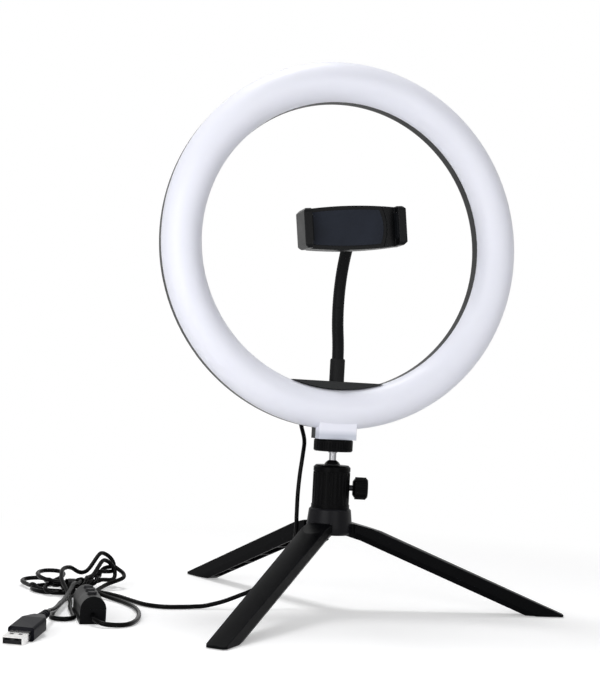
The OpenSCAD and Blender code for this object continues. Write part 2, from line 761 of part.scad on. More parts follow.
// Rubber boot on the arm's end; its sleeve and its nose stand proud of the bend by a thin step
module arm_elbow() {
    step = 0.1;
    lap = 0.6;
    color("#1c1d1e") at_stand() difference() {
        union() {
            at_arm_end() translate([0, 0, -1]) cylinder(d = sleeve_d + 2 * step, h = sleeve_l + 1 + lap);
            at_arm_end() translate([0, -elbow_r, sleeve_l]) rotate([90, 0, 90]) rotate_extrude(angle = 90 - arm_over)
                translate([elbow_r, 0]) circle(d = sleeve_d);
            translate([0, elbow_y + lap, clamp_z]) rotate([90, 0, 0])
                cylinder(d1 = sleeve_d + 2 * step, d2 = sleeve_d - 1, h = elbow_nose + lap);
        }
        at_arm_end() translate([0, 0, -1 - cut]) cylinder(d = arm_d + 2 * seat_gap, h = arm_tip + 1.3 + cut);
        translate([0, elbow_y + 1, clamp_z]) rotate([90, 0, 0])
            cylinder(d = clamp_neck_d + 2 * seat_gap, h = elbow_nose + 1 + cut);
    }
}

module arm_ball() {
    color("silver") at_stand() translate([0, clamp_ball_y, clamp_z]) union() {
        sphere(r = clamp_ball_r, $fn = 96);
        rotate([-90, 0, 0]) cylinder(d = clamp_neck_d, h = elbow_y + 1 - clamp_ball_y);
    }
}

// Phone clamp: local x to the right, y up and z forward, from its ball on the plane of its back

module in_clamp() {
    at_stand() translate([0, clamp_y, clamp_z]) rotate([0, -clamp_turn, 0]) rotate([90, 0, 0]) children();
}

module clamp_nut() {
    lip_z = clamp_y - clamp_ball_y;
    color("#18191a") in_clamp() difference() {
        union() {
            translate([0, 0, lip_z - nut_lip - nut_wall]) cylinder(d1 = nut_d - 3, d2 = nut_d, h = 1.5);
            translate([0, 0, lip_z - nut_lip - nut_wall + 1.5]) cylinder(d = nut_d, h = nut_lip + nut_wall - 1.5 - lip_z - slide_gap);
        }
        translate([0, 0, lip_z - 0.6]) cylinder(d = socket_d + 2 * run_gap, h = socket_d);
        translate([0, 0, lip_z]) sphere(r = clamp_ball_r + socket_gap, $fn = 96);
        translate([0, 0, lip_z - nut_lip - nut_wall - cut]) cylinder(
            r1 = sqrt(pow(clamp_ball_r, 2) - pow(nut_lip, 2)) + 1.4, r2 = sqrt(pow(clamp_ball_r, 2) - pow(nut_lip, 2)) + 0.2,
            h = nut_wall + cut);
        round_copies(24) translate([nut_d / 2 + 0.2, 0, lip_z - nut_lip - nut_wall - cut]) cylinder(d = 1.2, h = socket_d);
    }
}

// Outline of the clamp from the front, with bowed long edges
module clamp_face(from, to, inset = 0) {
    bow_drop = bow_r - (clamp_end_h + clamp_bow) / 2 + inset;
    intersection() {
        translate([from, -clamp_end_h]) square([to - from, 2 * clamp_end_h]);
        translate([clamp_mid, -bow_drop]) circle(bow_r, $fn = 360);
        translate([clamp_mid, bow_drop]) circle(bow_r, $fn = 360);
    }
}

// The same outline cut off by the body's curved end
module clamp_plate(from, inset = 0) {
    intersection() {
        clamp_face(from, jaw_seam + cut, inset);
        translate([jaw_seam - seam_r, 0]) circle(seam_r - inset, $fn = 180);
    }
}

module at_clamp_screws() {
    for (x = [screw_in[0] - clamp_left, jaw_seam - screw_in[1]], y = [-1, 1])
        translate([x, y * (clamp_end_h / 2 - screw_edge), 0]) children();
}

// Finger of a jaw from a start in x, rounded at the front and chamfered on the side that faces out
module jaw_finger(x, out) {
    h = clamp_end_h + jaw_extra;
    depth = clamp_depth + jaw_reach;
    side = jaw_t / 2 + cut;
    top = h / 2 + cut;
    slope = jaw_t / 2 + h / 2 - jaw_chamfer;
    intersection() {
        translate([x, 0, 0]) rotate([90, 0, 90]) linear_extrude(jaw_t) translate([0, depth / 2])
            soft_square(h, depth, jaw_round);
        translate([x + jaw_t / 2, 0, -cut]) linear_extrude(depth + 2 * cut) polygon([
            [-out * side, -top], [out * (slope - top), -top], [out * side, side - slope],
            [out * side, slope - side], [out * (slope - top), top], [-out * side, top]
        ]);
    }
}

module clamp_back() {
    color("#151617") in_clamp() difference() {
        union() {
            linear_extrude(back_t) clamp_plate(jaw_t - clamp_left + seat_gap);
            translate([0, 0, clamp_y - clamp_ball_y - 0.5]) cylinder(d = socket_d, h = clamp_ball_y - clamp_y + 1);
        }
        translate([0, 0, clamp_y - clamp_ball_y]) sphere(r = clamp_ball_r + socket_gap, $fn = 96);
        at_clamp_screws() {
            translate([0, 0, -cut]) cylinder(d = clamp_screw_d + 2 * seat_gap, h = back_t + 2 * cut);
            translate([0, 0, -cut]) cylinder(d = clamp_screw_head + 2 * slide_gap, h = 1.2 + cut);
        }
    }
}

module clamp_body() {
    tray_depth = clamp_depth - tray_wall;
    color("#17181a") in_clamp() difference() {
        union() {
            translate([0, 0, back_t]) linear_extrude(clamp_depth - back_t) clamp_plate(jaw_t - clamp_left - cut);
            jaw_finger(-clamp_left, -1);
        }
        translate([jaw_t - clamp_left + tray_wall, -tray_h / 2, back_t - cut])
            cube([2 * clamp_half, tray_h, tray_depth - back_t + cut]);
        at_clamp_screws() translate([0, 0, back_t - cut]) cylinder(d = clamp_screw_d, h = 5);
    }
}

module clamp_pad() {
    color("#23252e") in_clamp() translate([0, 0, clamp_depth])
        linear_extrude(pad_t) clamp_plate(jaw_t + jaw_pad_t - clamp_left + 0.6, pad_inset);
}

module jaw_pad(x) {
    translate([x, 0, 0]) rotate([90, 0, 90]) linear_extrude(jaw_pad_t)
        translate([0, clamp_depth + pad_t + (jaw_reach - pad_t) / 2]) soft_square(jaw_pad_h, jaw_reach - pad_t - 1.6, 2);
}

module fixed_jaw_pad() {
    color("#33363b") in_clamp() jaw_pad(jaw_t - clamp_left);
}

module clamp_screws() {
    color("dimgray") in_clamp() at_clamp_screws() {
        cylinder(d = clamp_screw_head, h = 1.2);
        cylinder(d = clamp_screw_d - 2 * seat_gap, h = back_t + 4);
    }
}

// Point on a coil spring's wire at a share of its length
function coil(t, turns, r, length) = [length * t, r * cos(360 * turns * t), r * sin(360 * turns * t)];

module jaw_springs() {
    start = jaw_t - clamp_left + tray_wall + slide_gap;
    length = tongue_end - start - slide_gap;
    steps = 12 * spring_turns;
    path = [for (i = [0:steps]) coil(i / steps, spring_turns, (spring_d - spring_wire) / 2, length)];
    color("silver") in_clamp() for (side = [-1, 1])
        translate([start, side * spring_gap_z, (back_t + clamp_depth - tray_wall) / 2])
            sweep(path, spring_wire, 6, [1, 0, 0]);
}

module sliding_jaw() {
    tongue_z = back_t + slide_gap;
    tongue_t = clamp_depth - tray_wall - back_t - 2 * slide_gap;
    seam = jaw_seam + slide_gap;
    color("#17181a") in_clamp() union() {
        linear_extrude(clamp_depth) difference() {
            clamp_face(jaw_seam - seam_r / 5, clamp_right - cut);
            translate([jaw_seam - seam_r, 0]) circle(seam_r + slide_gap, $fn = 180);
        }
        jaw_finger(clamp_right - jaw_t, 1);
        difference() {
            translate([tongue_end, -tongue_h / 2, tongue_z]) cube([seam - tongue_end + 1, tongue_h, tongue_t]);
            for (x = [tongue_end + 8, tongue_end + 21], y = [-1, 1])
                translate([x, y * tongue_h / 4, tongue_z - cut]) cylinder(d = 7, h = tongue_t + 2 * cut);
        }
    }
}

module sliding_jaw_pad() {
    color("#33363b") in_clamp() jaw_pad(clamp_right - jaw_t - jaw_pad_t);
}

// Lead

// Smooth points through a route, a few to each stretch of it
function spline(route, steps) = [
    for (i = [0:len(route) - 2], k = [0:steps - 1]) spline_point(route, i, k / steps),
    route[len(route) - 1]
];
function spline_point(route, i, t) =
    let (
        b = route[i],
        c = route[i + 1],
        a = i > 0 ? route[i - 1] : 2 * b - c,
        d = i < len(route) - 2 ? route[i + 2] : 2 * c - b
    )
    0.5 * (2 * b + (c - a) * t + (2 * a - 5 * b + 4 * c - d) * t * t + (3 * b - a - 3 * c + d) * t * t * t);
function unit(v) = v / norm(v);
function heading(path, i) = unit(path[min(i + 1, len(path) - 1)] - path[max(i - 1, 0)]);

// Closed tube along a path; guide is a direction that the path never runs along
module sweep(path, d, sides, guide) {
    last = len(path) - 1;
    rings = [
        for (i = [0:last])
            let (t = heading(path, i), across = unit(cross(t, guide)), up = cross(across, t))
            for (k = [0:sides - 1])
                path[i] + d / 2 * (across * cos(360 * k / sides) + up * sin(360 * k / sides))
    ];
    skin = [
        for (i = [0:last - 1], k = [0:sides - 1])
            let (n = (k + 1) % sides)
            [i * sides + k, i * sides + n, (i + 1) * sides + n, (i + 1) * sides + k]
    ];
    start = [for (k = [sides - 1:-1:0]) k];
    end = [for (k = [0:sides - 1]) last * sides + k];
    polyhedron(rings, concat(skin, [start, end]), convexity = 6);
}

module lead(route, steps, guide = [0, 0, 1]) {
    color("#0d0d0e") at_stand() sweep(spline(route, steps), cord_d, 8, guide);
}

module cord_drop() { lead(drop_route, 2, [0, 1, 0]); }
module cord_lead() { lead(lead_route, 2); }
module cord_loop() { lead(loop_route, 2); }
module cord_link() { lead(link_route, 2); }
module cord_tail() { lead(tail_route, 2); }

module cord_hank() {
    color("#0d0d0e") at_stand() union() {
        for (lobe = [lobe_left, lobe_right]) slab(lobe[0], lobe[1], lobe[2], hank_h);
        translate([hank_tie[0], hank_tie[1], tie_t + waist[2] / 2 + seat_gap]) cube(waist, center = true);
    }
}

module cord_tie() {
    inner = [tie_w + 2 * cut, waist[1] + 2 * seat_gap, waist[2] + 2 * seat_gap];
    outer = [tie_w, inner[1] + 2 * tie_t, inner[2] + 2 * tie_t];
    color("#202124") at_stand() translate([hank_tie[0], hank_tie[1], outer[2] / 2]) difference() {
        cube(outer, center = true);
        cube(inner, center = true);
    }
}

// Control box: local y along the lead, from the middle of its near end on the floor

module in_box() {
    at_stand() translate(box_at) children();
}

// Section of the box: straight sides under a half-round top
module box_section(inset) {
    r = box_r - inset;
    union() {
        translate([0, box_side]) circle(r);
        translate([-r, inset]) square([2 * r, box_side - inset]);
    }
}

module box_half(low, high) {
    intersection() {
        difference() {
            translate([0, box_l, 0]) rotate([90, 0, 0]) linear_extrude(box_l) box_section(0);
            translate([0, box_l - box_wall, 0]) rotate([90, 0, 0]) linear_extrude(box_l - 2 * box_wall) box_section(box_wall);
        }
        translate([-box_w, -cut, low]) cube([2 * box_w, box_l + 2 * cut, high - low]);
    }
}

module at_buttons() {
    for (i = [-1:1]) translate([0, box_l / 2 + i * button_pitch, 0]) children();
}

module box_base() {
    color("#121314") in_box() union() {
        box_half(0, box_side);
        for (y = [6, box_l - 6], x = [-1, 1]) translate([x * (box_r - box_wall - 2), y, box_wall / 2])
            cylinder(d = 3, h = box_side - board_t - 1 - box_wall / 2);
    }
}

module box_cover() {
    color("#151617") in_box() difference() {
        box_half(box_side, box_top);
        at_buttons() cylinder(d = button_d + 2 * slide_gap, h = 2 * box_top);
    }
}

module box_board() {
    color("darkgreen") in_box() translate([0, box_l / 2, box_side - 1 - board_t / 2])
        cube([box_w - 2 * box_wall - 2 * slide_gap, box_l - 2 * box_wall - 2 * slide_gap, board_t], center = true);
}

// Button with a stem down to the board's switch and a flange that keeps it in the cover
module button(i) {
    foot = box_side - 1 + button_travel + turn_gap;
    flange_d = button_d + 1.6;
    flange_top = box_side + sqrt(pow(box_r - box_wall, 2) - pow(flange_d / 2, 2)) - turn_gap;
    color("#303134") in_box() translate([0, box_l / 2 + i * button_pitch, 0]) {
        translate([0, 0, foot]) cylinder(d = button_d - 1, h = box_top - foot);
        translate([0, 0, box_top - 1]) cylinder(d = button_d, h = 1 + button_rise - 0.5);
        translate([0, 0, box_top + button_rise - 0.5]) cylinder(d1 = button_d, d2 = button_d - 1, h = 0.5);
        translate([0, 0, flange_top - button_flange]) cylinder(d = flange_d, h = button_flange);
    }
}

module button_power() { button(-1); }
module button_up() { button(0); }
module button_down() { button(1); }

// Plug: local x from the mouth of its shell towards the lead

module in_plug() {
    lift = usb_body_size[2] / 2 * cos(plug_pitch) - usb_shell_size[0] * sin(plug_pitch);
    at_stand() translate([plug_at[0], plug_at[1], lift]) rotate([0, -plug_pitch, plug_yaw]) children();
}

module usb_body() {
    start = usb_shell_size[0];
    color("#101116") in_plug() translate([start, 0, 0]) difference() {
        union() {
            rotate([90, 0, 90]) linear_extrude(usb_body_size[0] * 0.7) soft_square(usb_body_size[1], usb_body_size[2], 1.6);
            hull() {
                translate([usb_body_size[0] * 0.7 - 1, 0, 0]) rotate([90, 0, 90]) linear_extrude(1)
                    soft_square(usb_body_size[1], usb_body_size[2], 1.6, $fn = 24);
                translate([usb_body_size[0] - 1, 0, 0]) rotate([90, 0, 90]) linear_extrude(1)
                    soft_square(usb_body_size[1] * 0.55, usb_body_size[2] * 0.8, 1.6, $fn = 24);
            }
            translate([usb_body_size[0] - 1, 0, 0]) rotate([0, 90, 0])
                cylinder(d1 = 5.6, d2 = cord_d + 0.8, h = usb_relief_l + 1);
            for (i = [0:3]) translate([usb_body_size[0] + 1 + 3 * i, 0, 0]) rotate([0, 90, 0])
                cylinder(d = 6.2 - 0.35 * i, h = 1.4);
        }
        translate([-cut, 0, 0]) cube([2 * cut + 6, usb_shell_size[1] + 2 * seat_gap, usb_shell_size[2] + 2 * seat_gap], center = true);
    }
}

module usb_shell() {
    length = usb_shell_size[0] + 2.5;
    color("silver") in_plug() difference() {
        translate([0, -usb_shell_size[1] / 2, -usb_shell_size[2] / 2]) cube([length, usb_shell_size[1], usb_shell_size[2]]);
        translate([-cut, usb_wall - usb_shell_size[1] / 2, usb_wall - usb_shell_size[2] / 2])
            cube([length + 2 * cut, usb_shell_size[1] - 2 * usb_wall, usb_shell_size[2] - 2 * usb_wall]);
        for (y = [-1, 1]) translate([6, y * 2.6, 0]) cube([2.4, 2.4, usb_shell_size[2] + 2 * cut], center = true);
    }
}

module usb_tongue() {
    width = usb_shell_size[1] - 2 * usb_wall - 2 * seat_gap;
    color("white") in_plug() translate([0.8, -width / 2, seat_gap + usb_wall - usb_shell_size[2] / 2])
        cube([usb_shell_size[0] + 1.6, width, 1.7]);
}

diffuser();
rear_shell();
led_board();
led_chips();
shell_screws();
mount_nut();
cord_gland();
lock_disc();
head_stud();
head_ball();
head_housing();
head_base();
brake_cup();
lock_knob();
knob_screw();
hub();
hub_stud();
hinge_pins();
leg_right();
leg_rear();
leg_front();
foot_right();
foot_rear();
foot_front();
arm_ferrule();
gooseneck();
arm_elbow();
arm_ball();
clamp_nut();
clamp_back();
clamp_body();
clamp_pad();
fixed_jaw_pad();
clamp_screws();
jaw_springs();
sliding_jaw();
sliding_jaw_pad();
cord_drop();
cord_lead();
cord_hank();
cord_tie();
cord_link();
cord_loop();
cord_tail();
box_base();
box_cover();
box_board();
button_power();
button_up();
button_down();
usb_body();
usb_shell();
usb_tongue();
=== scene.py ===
import bpy
import numpy as np
from mathutils import Matrix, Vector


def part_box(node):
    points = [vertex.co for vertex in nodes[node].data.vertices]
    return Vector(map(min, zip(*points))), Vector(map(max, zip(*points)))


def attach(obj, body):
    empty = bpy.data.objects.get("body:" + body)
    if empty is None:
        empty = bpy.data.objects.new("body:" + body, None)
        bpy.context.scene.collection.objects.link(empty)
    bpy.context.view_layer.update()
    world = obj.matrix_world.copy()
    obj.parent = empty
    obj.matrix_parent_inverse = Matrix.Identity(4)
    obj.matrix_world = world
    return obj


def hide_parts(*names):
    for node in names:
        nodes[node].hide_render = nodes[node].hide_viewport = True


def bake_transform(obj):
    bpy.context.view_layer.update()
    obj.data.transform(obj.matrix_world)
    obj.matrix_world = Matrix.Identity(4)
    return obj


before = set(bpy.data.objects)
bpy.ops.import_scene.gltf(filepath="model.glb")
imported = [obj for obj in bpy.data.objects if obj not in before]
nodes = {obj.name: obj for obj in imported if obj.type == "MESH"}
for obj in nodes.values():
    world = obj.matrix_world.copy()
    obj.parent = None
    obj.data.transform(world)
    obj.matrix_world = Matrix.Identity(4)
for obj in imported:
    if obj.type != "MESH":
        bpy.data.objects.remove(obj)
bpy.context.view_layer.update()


# Tripod hub, stud and leg pins
# The hub is one black nylon moulding with three slots for the legs. A steel stud is moulded into its
# top and carries the head, and three steel pins are pressed through the slots from the side.

def add(tree, kind, feeds=None, **settings):
    """A shader node with its settings, whose inputs are set to a value or linked to another's output."""
    node = tree.nodes.new(kind)
    for setting, value in settings.items():
        setattr(node, setting, value)
    for socket, value in (feeds or {}).items():
        if isinstance(value, bpy.types.NodeSocket):
            tree.links.new(value, node.inputs[socket])
        else:
            node.inputs[socket].default_value = value
    return node


def noise(tree, place, scale, detail, **more):
    """Cloudy noise at a number of waves per metre, with as many finer layers as its detail."""
    feeds = {"Vector": place, "Scale": scale, "Detail": detail, **more}
    return add(tree, "ShaderNodeTexNoise", feeds).outputs["Fac"]


def stretch(tree, value, low, high, to_low=0.0, to_high=1.0, **settings):
    """A value's range from low to high, stretched over another range and cut off beyond it."""
    feeds = {"Value": value, "From Min": low, "From Max": high, "To Min": to_low, "To Max": to_high}
    return add(tree, "ShaderNodeMapRange", feeds, **settings).outputs["Result"]


def reckon(tree, operation, *values):
    """The result of one operation on two or three values."""
    return add(tree, "ShaderNodeMath", dict(enumerate(values)), operation=operation).outputs[0]


def mixed_colour(tree, share, first, second):
    """The first colour where the share is 0, going over to the second where it is 1."""
    feeds = {"Factor": share, "A": first, "B": second}
    return add(tree, "ShaderNodeMix", feeds, data_type="RGBA").outputs[2]


def effect(name, takes):
    """A shader node group with named inputs that puts out a colour, a roughness and a normal. Returns its
    tree, its inputs and its output node."""
    gives = [("Color", "Color"), ("Roughness", "Float"), ("Normal", "Vector")]
    tree = bpy.data.node_groups.new(name, "ShaderNodeTree")
    for way, sockets in (("INPUT", takes), ("OUTPUT", gives)):
        for socket, kind in sockets:
            tree.interface.new_socket(name=socket, in_out=way, socket_type="NodeSocket" + kind)
    return tree, tree.nodes.new("NodeGroupInput").outputs, tree.nodes.new("NodeGroupOutput")


def put_out(tree, made, colour, roughness, normal):
    """Links a group's three results to its output node."""
    for socket, value in (("Color", colour), ("Roughness", roughness), ("Normal", normal)):
        tree.links.new(value, made.inputs[socket])


# Moulded skin: spark-eroded grain, handling marks and paler edges, partly rubbed wear and partly a
# painted highlight. The edge mask is how far the normal of a rounded edge leans away from the face's own
# normal, broken up by a cloudy noise.
moulded_skin, given, made = effect(
    "moulded_skin",
    [("Base", "Color"), ("Edge Wear And Highlight", "Color"), ("Grain", "Float"), ("Depth", "Float"), ("Edge", "Float"),
     ("Roughness", "Float"), ("Spread", "Float")])
place = add(moulded_skin, "ShaderNodeTexCoord").outputs["Object"]
grain = noise(moulded_skin, place, given["Grain"], 3.0, Roughness=0.65)
cloud = noise(moulded_skin, place, 46.0, 5.0, Roughness=0.6, Distortion=0.4)
scuff = noise(moulded_skin, place, 330.0, 2.0, Roughness=0.5)
rounded = add(moulded_skin, "ShaderNodeBevel", {"Radius": given["Edge"]}, samples=4).outputs["Normal"]
flat = add(moulded_skin, "ShaderNodeNewGeometry").outputs["Normal"]
lean = add(moulded_skin, "ShaderNodeVectorMath", {0: rounded, 1: flat}, operation="DOT_PRODUCT")
edge = stretch(moulded_skin, lean.outputs["Value"], 0.995, 0.86)
broken = stretch(moulded_skin, scuff, 0.35, 0.62, 0.25, 0.8)
# Paler edge mask: partly rubbed wear and partly a painted highlight on the rounded edges.
worn_and_highlit_edge = reckon(moulded_skin, "MULTIPLY", edge, broken)
tone = stretch(moulded_skin, cloud, 0.3, 0.7, 0.82, 1.18)
tinted = add(moulded_skin, "ShaderNodeVectorMath", {0: given["Base"], "Scale": tone}, operation="SCALE")
colour = mixed_colour(moulded_skin, worn_and_highlit_edge, tinted.outputs["Vector"], given["Edge Wear And Highlight"])
wander = reckon(moulded_skin, "SUBTRACT", cloud, 0.5)
sheen = reckon(moulded_skin, "MULTIPLY_ADD", wander, given["Spread"], given["Roughness"])
polished = reckon(moulded_skin, "MULTIPLY_ADD", worn_and_highlit_edge, -0.12, sheen)
relief = add(moulded_skin, "ShaderNodeBump",
             {"Height": grain, "Distance": given["Depth"], "Strength": 1.0, "Normal": rounded})
put_out(moulded_skin, made, colour, polished, relief.outputs["Normal"])


def shader(name, skin, values, metallic=0.0, specular=0.5):
    """A material whose colour, roughness and normal come from a skin group with its own values."""
    material = bpy.data.materials.new(name)
    material.use_nodes = True
    tree = material.node_tree
    surface = tree.nodes["Principled BSDF"]
    group = add(tree, "ShaderNodeGroup", node_tree=skin)
    for socket, value in values.items():
        group.inputs[socket].default_value = value
    tree.links.new(group.outputs["Color"], surface.inputs["Base Color"])
    tree.links.new(group.outputs["Roughness"], surface.inputs["Roughness"])
    tree.links.new(group.outputs["Normal"], surface.inputs["Normal"])
    surface.inputs["Metallic"].default_value = metallic
    surface.inputs["Specular IOR Level"].default_value = specular
    return material


# The second colour is the paler edge colour: partly rubbed wear and partly a painted highlight.
def moulding(name, base, edge_wear_and_highlight, grain=2600.0, depth=0.00002, edge=0.0005, roughness=0.5, spread=0.25,
             specular=0.3):
    """Moulded plastic or rubber: the moulded skin at a grain in waves per metre, with the depth of that
    grain and the radius of an edge in metres."""
    return shader(name, moulded_skin, {
        "Base": (*base, 1), "Edge Wear And Highlight": (*edge_wear_and_highlight, 1), "Grain": grain, "Depth": depth, "Edge": edge,
        "Roughness": roughness, "Spread": spread}, specular=specular)


def dress(material, *names):
    """Gives CAD nodes a finish through their objects' own slots."""
    for name in names:
        for slot in nodes[name].material_slots:
            slot.material = material


# Drawn and turned metal: fine lines square to the axis with the most waves, over a cloudy tarnish.
turned_metal, given, made = effect(
    "turned_metal",
    [("Base", "Color"), ("Tarnish", "Color"), ("Lines", "Vector"), ("Depth", "Float"),
     ("Roughness", "Float")])
place = add(turned_metal, "ShaderNodeTexCoord").outputs["Object"]
drawn = add(turned_metal, "ShaderNodeVectorMath", {0: place, 1: given["Lines"]}, operation="MULTIPLY")
lines = noise(turned_metal, drawn.outputs["Vector"], 1.0, 2.0)
cloud = noise(turned_metal, place, 160.0, 4.0)
dull = stretch(turned_metal, cloud, 0.42, 0.72, 0.0, 0.55)
colour = mixed_colour(turned_metal, dull, given["Base"], given["Tarnish"])
rough = reckon(turned_metal, "MULTIPLY_ADD", dull, 0.25, given["Roughness"])
relief = add(turned_metal, "ShaderNodeBump",
             {"Height": lines, "Distance": given["Depth"], "Strength": 1.0})
put_out(turned_metal, made, colour, rough, relief.outputs["Normal"])


def metal(name, base, tarnish, lines=(300.0, 300.0, 6000.0), depth=0.00001, roughness=0.28):
    """Metal with lines along one axis: the lines' waves per metre are given for each axis."""
    return shader(name, turned_metal, {
        "Base": (*base, 1), "Tarnish": (*tarnish, 1), "Lines": lines, "Depth": depth,
        "Roughness": roughness}, metallic=1.0)


dress(moulding("hub_nylon", (0.0045, 0.0045, 0.0058), (0.024, 0.024, 0.029), roughness=0.38,
               specular=0.08), "hub")
zinc = metal("zinc_plated_steel", (0.62, 0.62, 0.63), (0.40, 0.40, 0.42))
dress(zinc, "hub_stud", "hinge_pins")


# Legs and feet
# Each leg is a ribbed nylon moulding, hollow below and crowned on top, that swings on its pin. A rubber
# pad is pressed into the underside near the tip.

dress(moulding("leg_nylon", (0.0016, 0.0017, 0.0021), (0.011, 0.012, 0.014), grain=2100.0,
               depth=0.000035, edge=0.0008, roughness=0.36, spread=0.3, specular=0.03),
      "leg_right", "leg_rear", "leg_front")
dress(moulding("foot_rubber", (0.012, 0.012, 0.0125), (0.03, 0.03, 0.03), grain=1500.0, depth=0.00005,
               roughness=0.8, specular=0.1), "foot_right", "foot_rear", "foot_front")


# Ball head
# A ribbed housing holds a black ball on a steel stud. A threaded metal plug closes its foot, a nylon cup
# under the ball is pushed up by the side knob's cone-tipped screw, and a fluted disc on the stud locks
# the ring.

dress(moulding("head_abs", (0.0015, 0.0015, 0.0017), (0.012, 0.012, 0.013), roughness=0.34,
               specular=0.03), "head_housing")
dress(moulding("knob_abs", (0.0016, 0.0016, 0.0018), (0.012, 0.012, 0.013), edge=0.0003, roughness=0.32,
               specular=0.04), "lock_knob")
dress(moulding("disc_abs", (0.0016, 0.0016, 0.002), (0.012, 0.012, 0.013), edge=0.0003, roughness=0.36,
               specular=0.03), "lock_disc")
dress(moulding("ball_acetal", (0.004, 0.004, 0.0044), (0.012, 0.012, 0.013), depth=0.000004,
               roughness=0.2, specular=0.2), "head_ball")
dress(moulding("cup_nylon", (0.62, 0.58, 0.47), (0.75, 0.72, 0.62), depth=0.00001, roughness=0.45,
               specular=0.4), "brake_cup")
dress(metal("turned_aluminium", (0.58, 0.58, 0.59), (0.42, 0.42, 0.44), roughness=0.34), "head_base")
dress(metal("stud_steel", (0.27, 0.27, 0.28), (0.15, 0.15, 0.16), roughness=0.32), "head_stud")
dress(metal("blackened_screw", (0.03, 0.03, 0.032), (0.016, 0.016, 0.017), roughness=0.5), "knob_screw")


# Ring
# A milky polycarbonate band, moulded half round, snaps over a black shell that holds an annular board
# with two rows of light chips. Screws through the shell's back pull into posts behind the band, and both
# halves form the foot block that traps a brass nut.

# Milky skin: a faint haze deeper in the plastic and a satin surface of very shallow ripples. Between two
# heights it goes over to a greyer painted shade on the foot block under the ring.
milky_skin, given, made = effect(
    "milky_skin",
    [("Base", "Color"), ("Haze", "Color"), ("Foot Shade", "Color"), ("Full Shade Below", "Float"),
     ("Shade Ends Above", "Float"), ("Roughness", "Float"), ("Edge", "Float")])
place = add(milky_skin, "ShaderNodeTexCoord").outputs["Object"]
haze = noise(milky_skin, place, 14.0, 3.0)
satin = noise(milky_skin, place, 1900.0, 2.0)
smear = noise(milky_skin, place, 60.0, 5.0, Distortion=0.6)
depth = stretch(milky_skin, haze, 0.35, 0.7)
thin = mixed_colour(milky_skin, depth, given["Base"], given["Haze"])
height = add(milky_skin, "ShaderNodeSeparateXYZ", {"Vector": place}).outputs["Z"]
# Painted shade on the foot block: full below one height, none above the ring's bottom.
foot_shade = stretch(milky_skin, height, given["Full Shade Below"], given["Shade Ends Above"], 1.0, 0.0)
colour = mixed_colour(milky_skin, foot_shade, thin, given["Foot Shade"])
wander = reckon(milky_skin, "SUBTRACT", smear, 0.5)
rough = reckon(milky_skin, "MULTIPLY_ADD", wander, 0.25, given["Roughness"])
rounded = add(milky_skin, "ShaderNodeBevel", {"Radius": given["Edge"]}, samples=4).outputs["Normal"]
relief = add(milky_skin, "ShaderNodeBump",
             {"Height": satin, "Distance": 0.000006, "Strength": 1.0, "Normal": rounded})
put_out(milky_skin, made, colour, rough, relief.outputs["Normal"])

# The foot block's greyer colour is painted shade under the ring, full up to a height over its bottom.
RING_ACROSS = 0.26
FOOT_FULL_SHADE = 0.003                            # height of the foot block's greyest part
band_low, band_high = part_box("diffuser")
milk = shader("milky_polycarbonate", milky_skin, {
    "Base": (0.755, 0.765, 0.84, 1), "Haze": (0.74, 0.75, 0.83, 1), "Foot Shade": (0.51, 0.535, 0.61, 1),
    "Full Shade Below": band_low[2] + FOOT_FULL_SHADE, "Shade Ends Above": band_high[2] - RING_ACROSS,
    "Roughness": 0.42, "Edge": 0.0006}, specular=0.35)
milk_surface = milk.node_tree.nodes["Principled BSDF"]
milk_surface.inputs["Subsurface Weight"].default_value = 0.25
milk_surface.inputs["Subsurface Radius"].default_value = (1.0, 1.0, 1.1)
milk_surface.inputs["Subsurface Scale"].default_value = 0.003
dress(milk, "diffuser")
dress(moulding("shell_abs", (0.011, 0.0118, 0.0125), (0.035, 0.037, 0.04), grain=2300.0, depth=0.00003,
               roughness=0.48, specular=0.18), "rear_shell")
dress(moulding("board_mask", (0.72, 0.73, 0.71), (0.6, 0.6, 0.58), depth=0.000006, edge=0.0002,
               roughness=0.35), "led_board")
dress(moulding("chip_phosphor", (0.75, 0.60, 0.18), (0.8, 0.72, 0.4), grain=5200.0, depth=0.00001,
               edge=0.0001, roughness=0.3), "led_chips")
dress(metal("blackened_steel", (0.16, 0.16, 0.165), (0.07, 0.07, 0.075), roughness=0.42), "shell_screws")
dress(metal("turned_brass", (0.72, 0.53, 0.24), (0.42, 0.29, 0.12), roughness=0.3), "mount_nut")
rubber = moulding("sleeve_rubber", (0.006, 0.0062, 0.0066), (0.02, 0.02, 0.021), grain=1700.0,
                  depth=0.00003, roughness=0.62, specular=0.1)
dress(rubber, "cord_gland")


# Bendable arm
# A spiral of steel wire in a smooth black sheath stands in a rubber sleeve on the ring's inner seat. It
# leans back a little, bends over to the front and runs into a rubber elbow that carries the ball of the
# phone clamp.

dress(rubber, "arm_ferrule", "arm_elbow")
dress(zinc, "arm_ball")
STAND = np.array([-19.915, -11.934, 0.0])     # stand's axis from the middle of the object, in millimetres
ACROSS = np.array([1.0, 0.0, 0.0])


def tube_grid(path, radius, sides, reference):
    """Circles of the given radius square to a path. Each starts from the reference direction with its
    part along the path taken away, and the second direction is the cross product of the path's direction
    and the first."""
    along = np.gradient(path, axis=0)
    along /= np.linalg.norm(along, axis=1, keepdims=True)
    first = reference - along * (along @ reference)[:, None]
    first /= np.linalg.norm(first, axis=1, keepdims=True)
    second = np.cross(along, first)
    turn = np.linspace(0, 2 * np.pi, sides, endpoint=False)
    ring = np.cos(turn)[None, :, None] * first[:, None] + np.sin(turn)[None, :, None] * second[:, None]
    return path[:, None] + np.broadcast_to(np.asarray(radius, float), (len(path), sides))[..., None] * ring


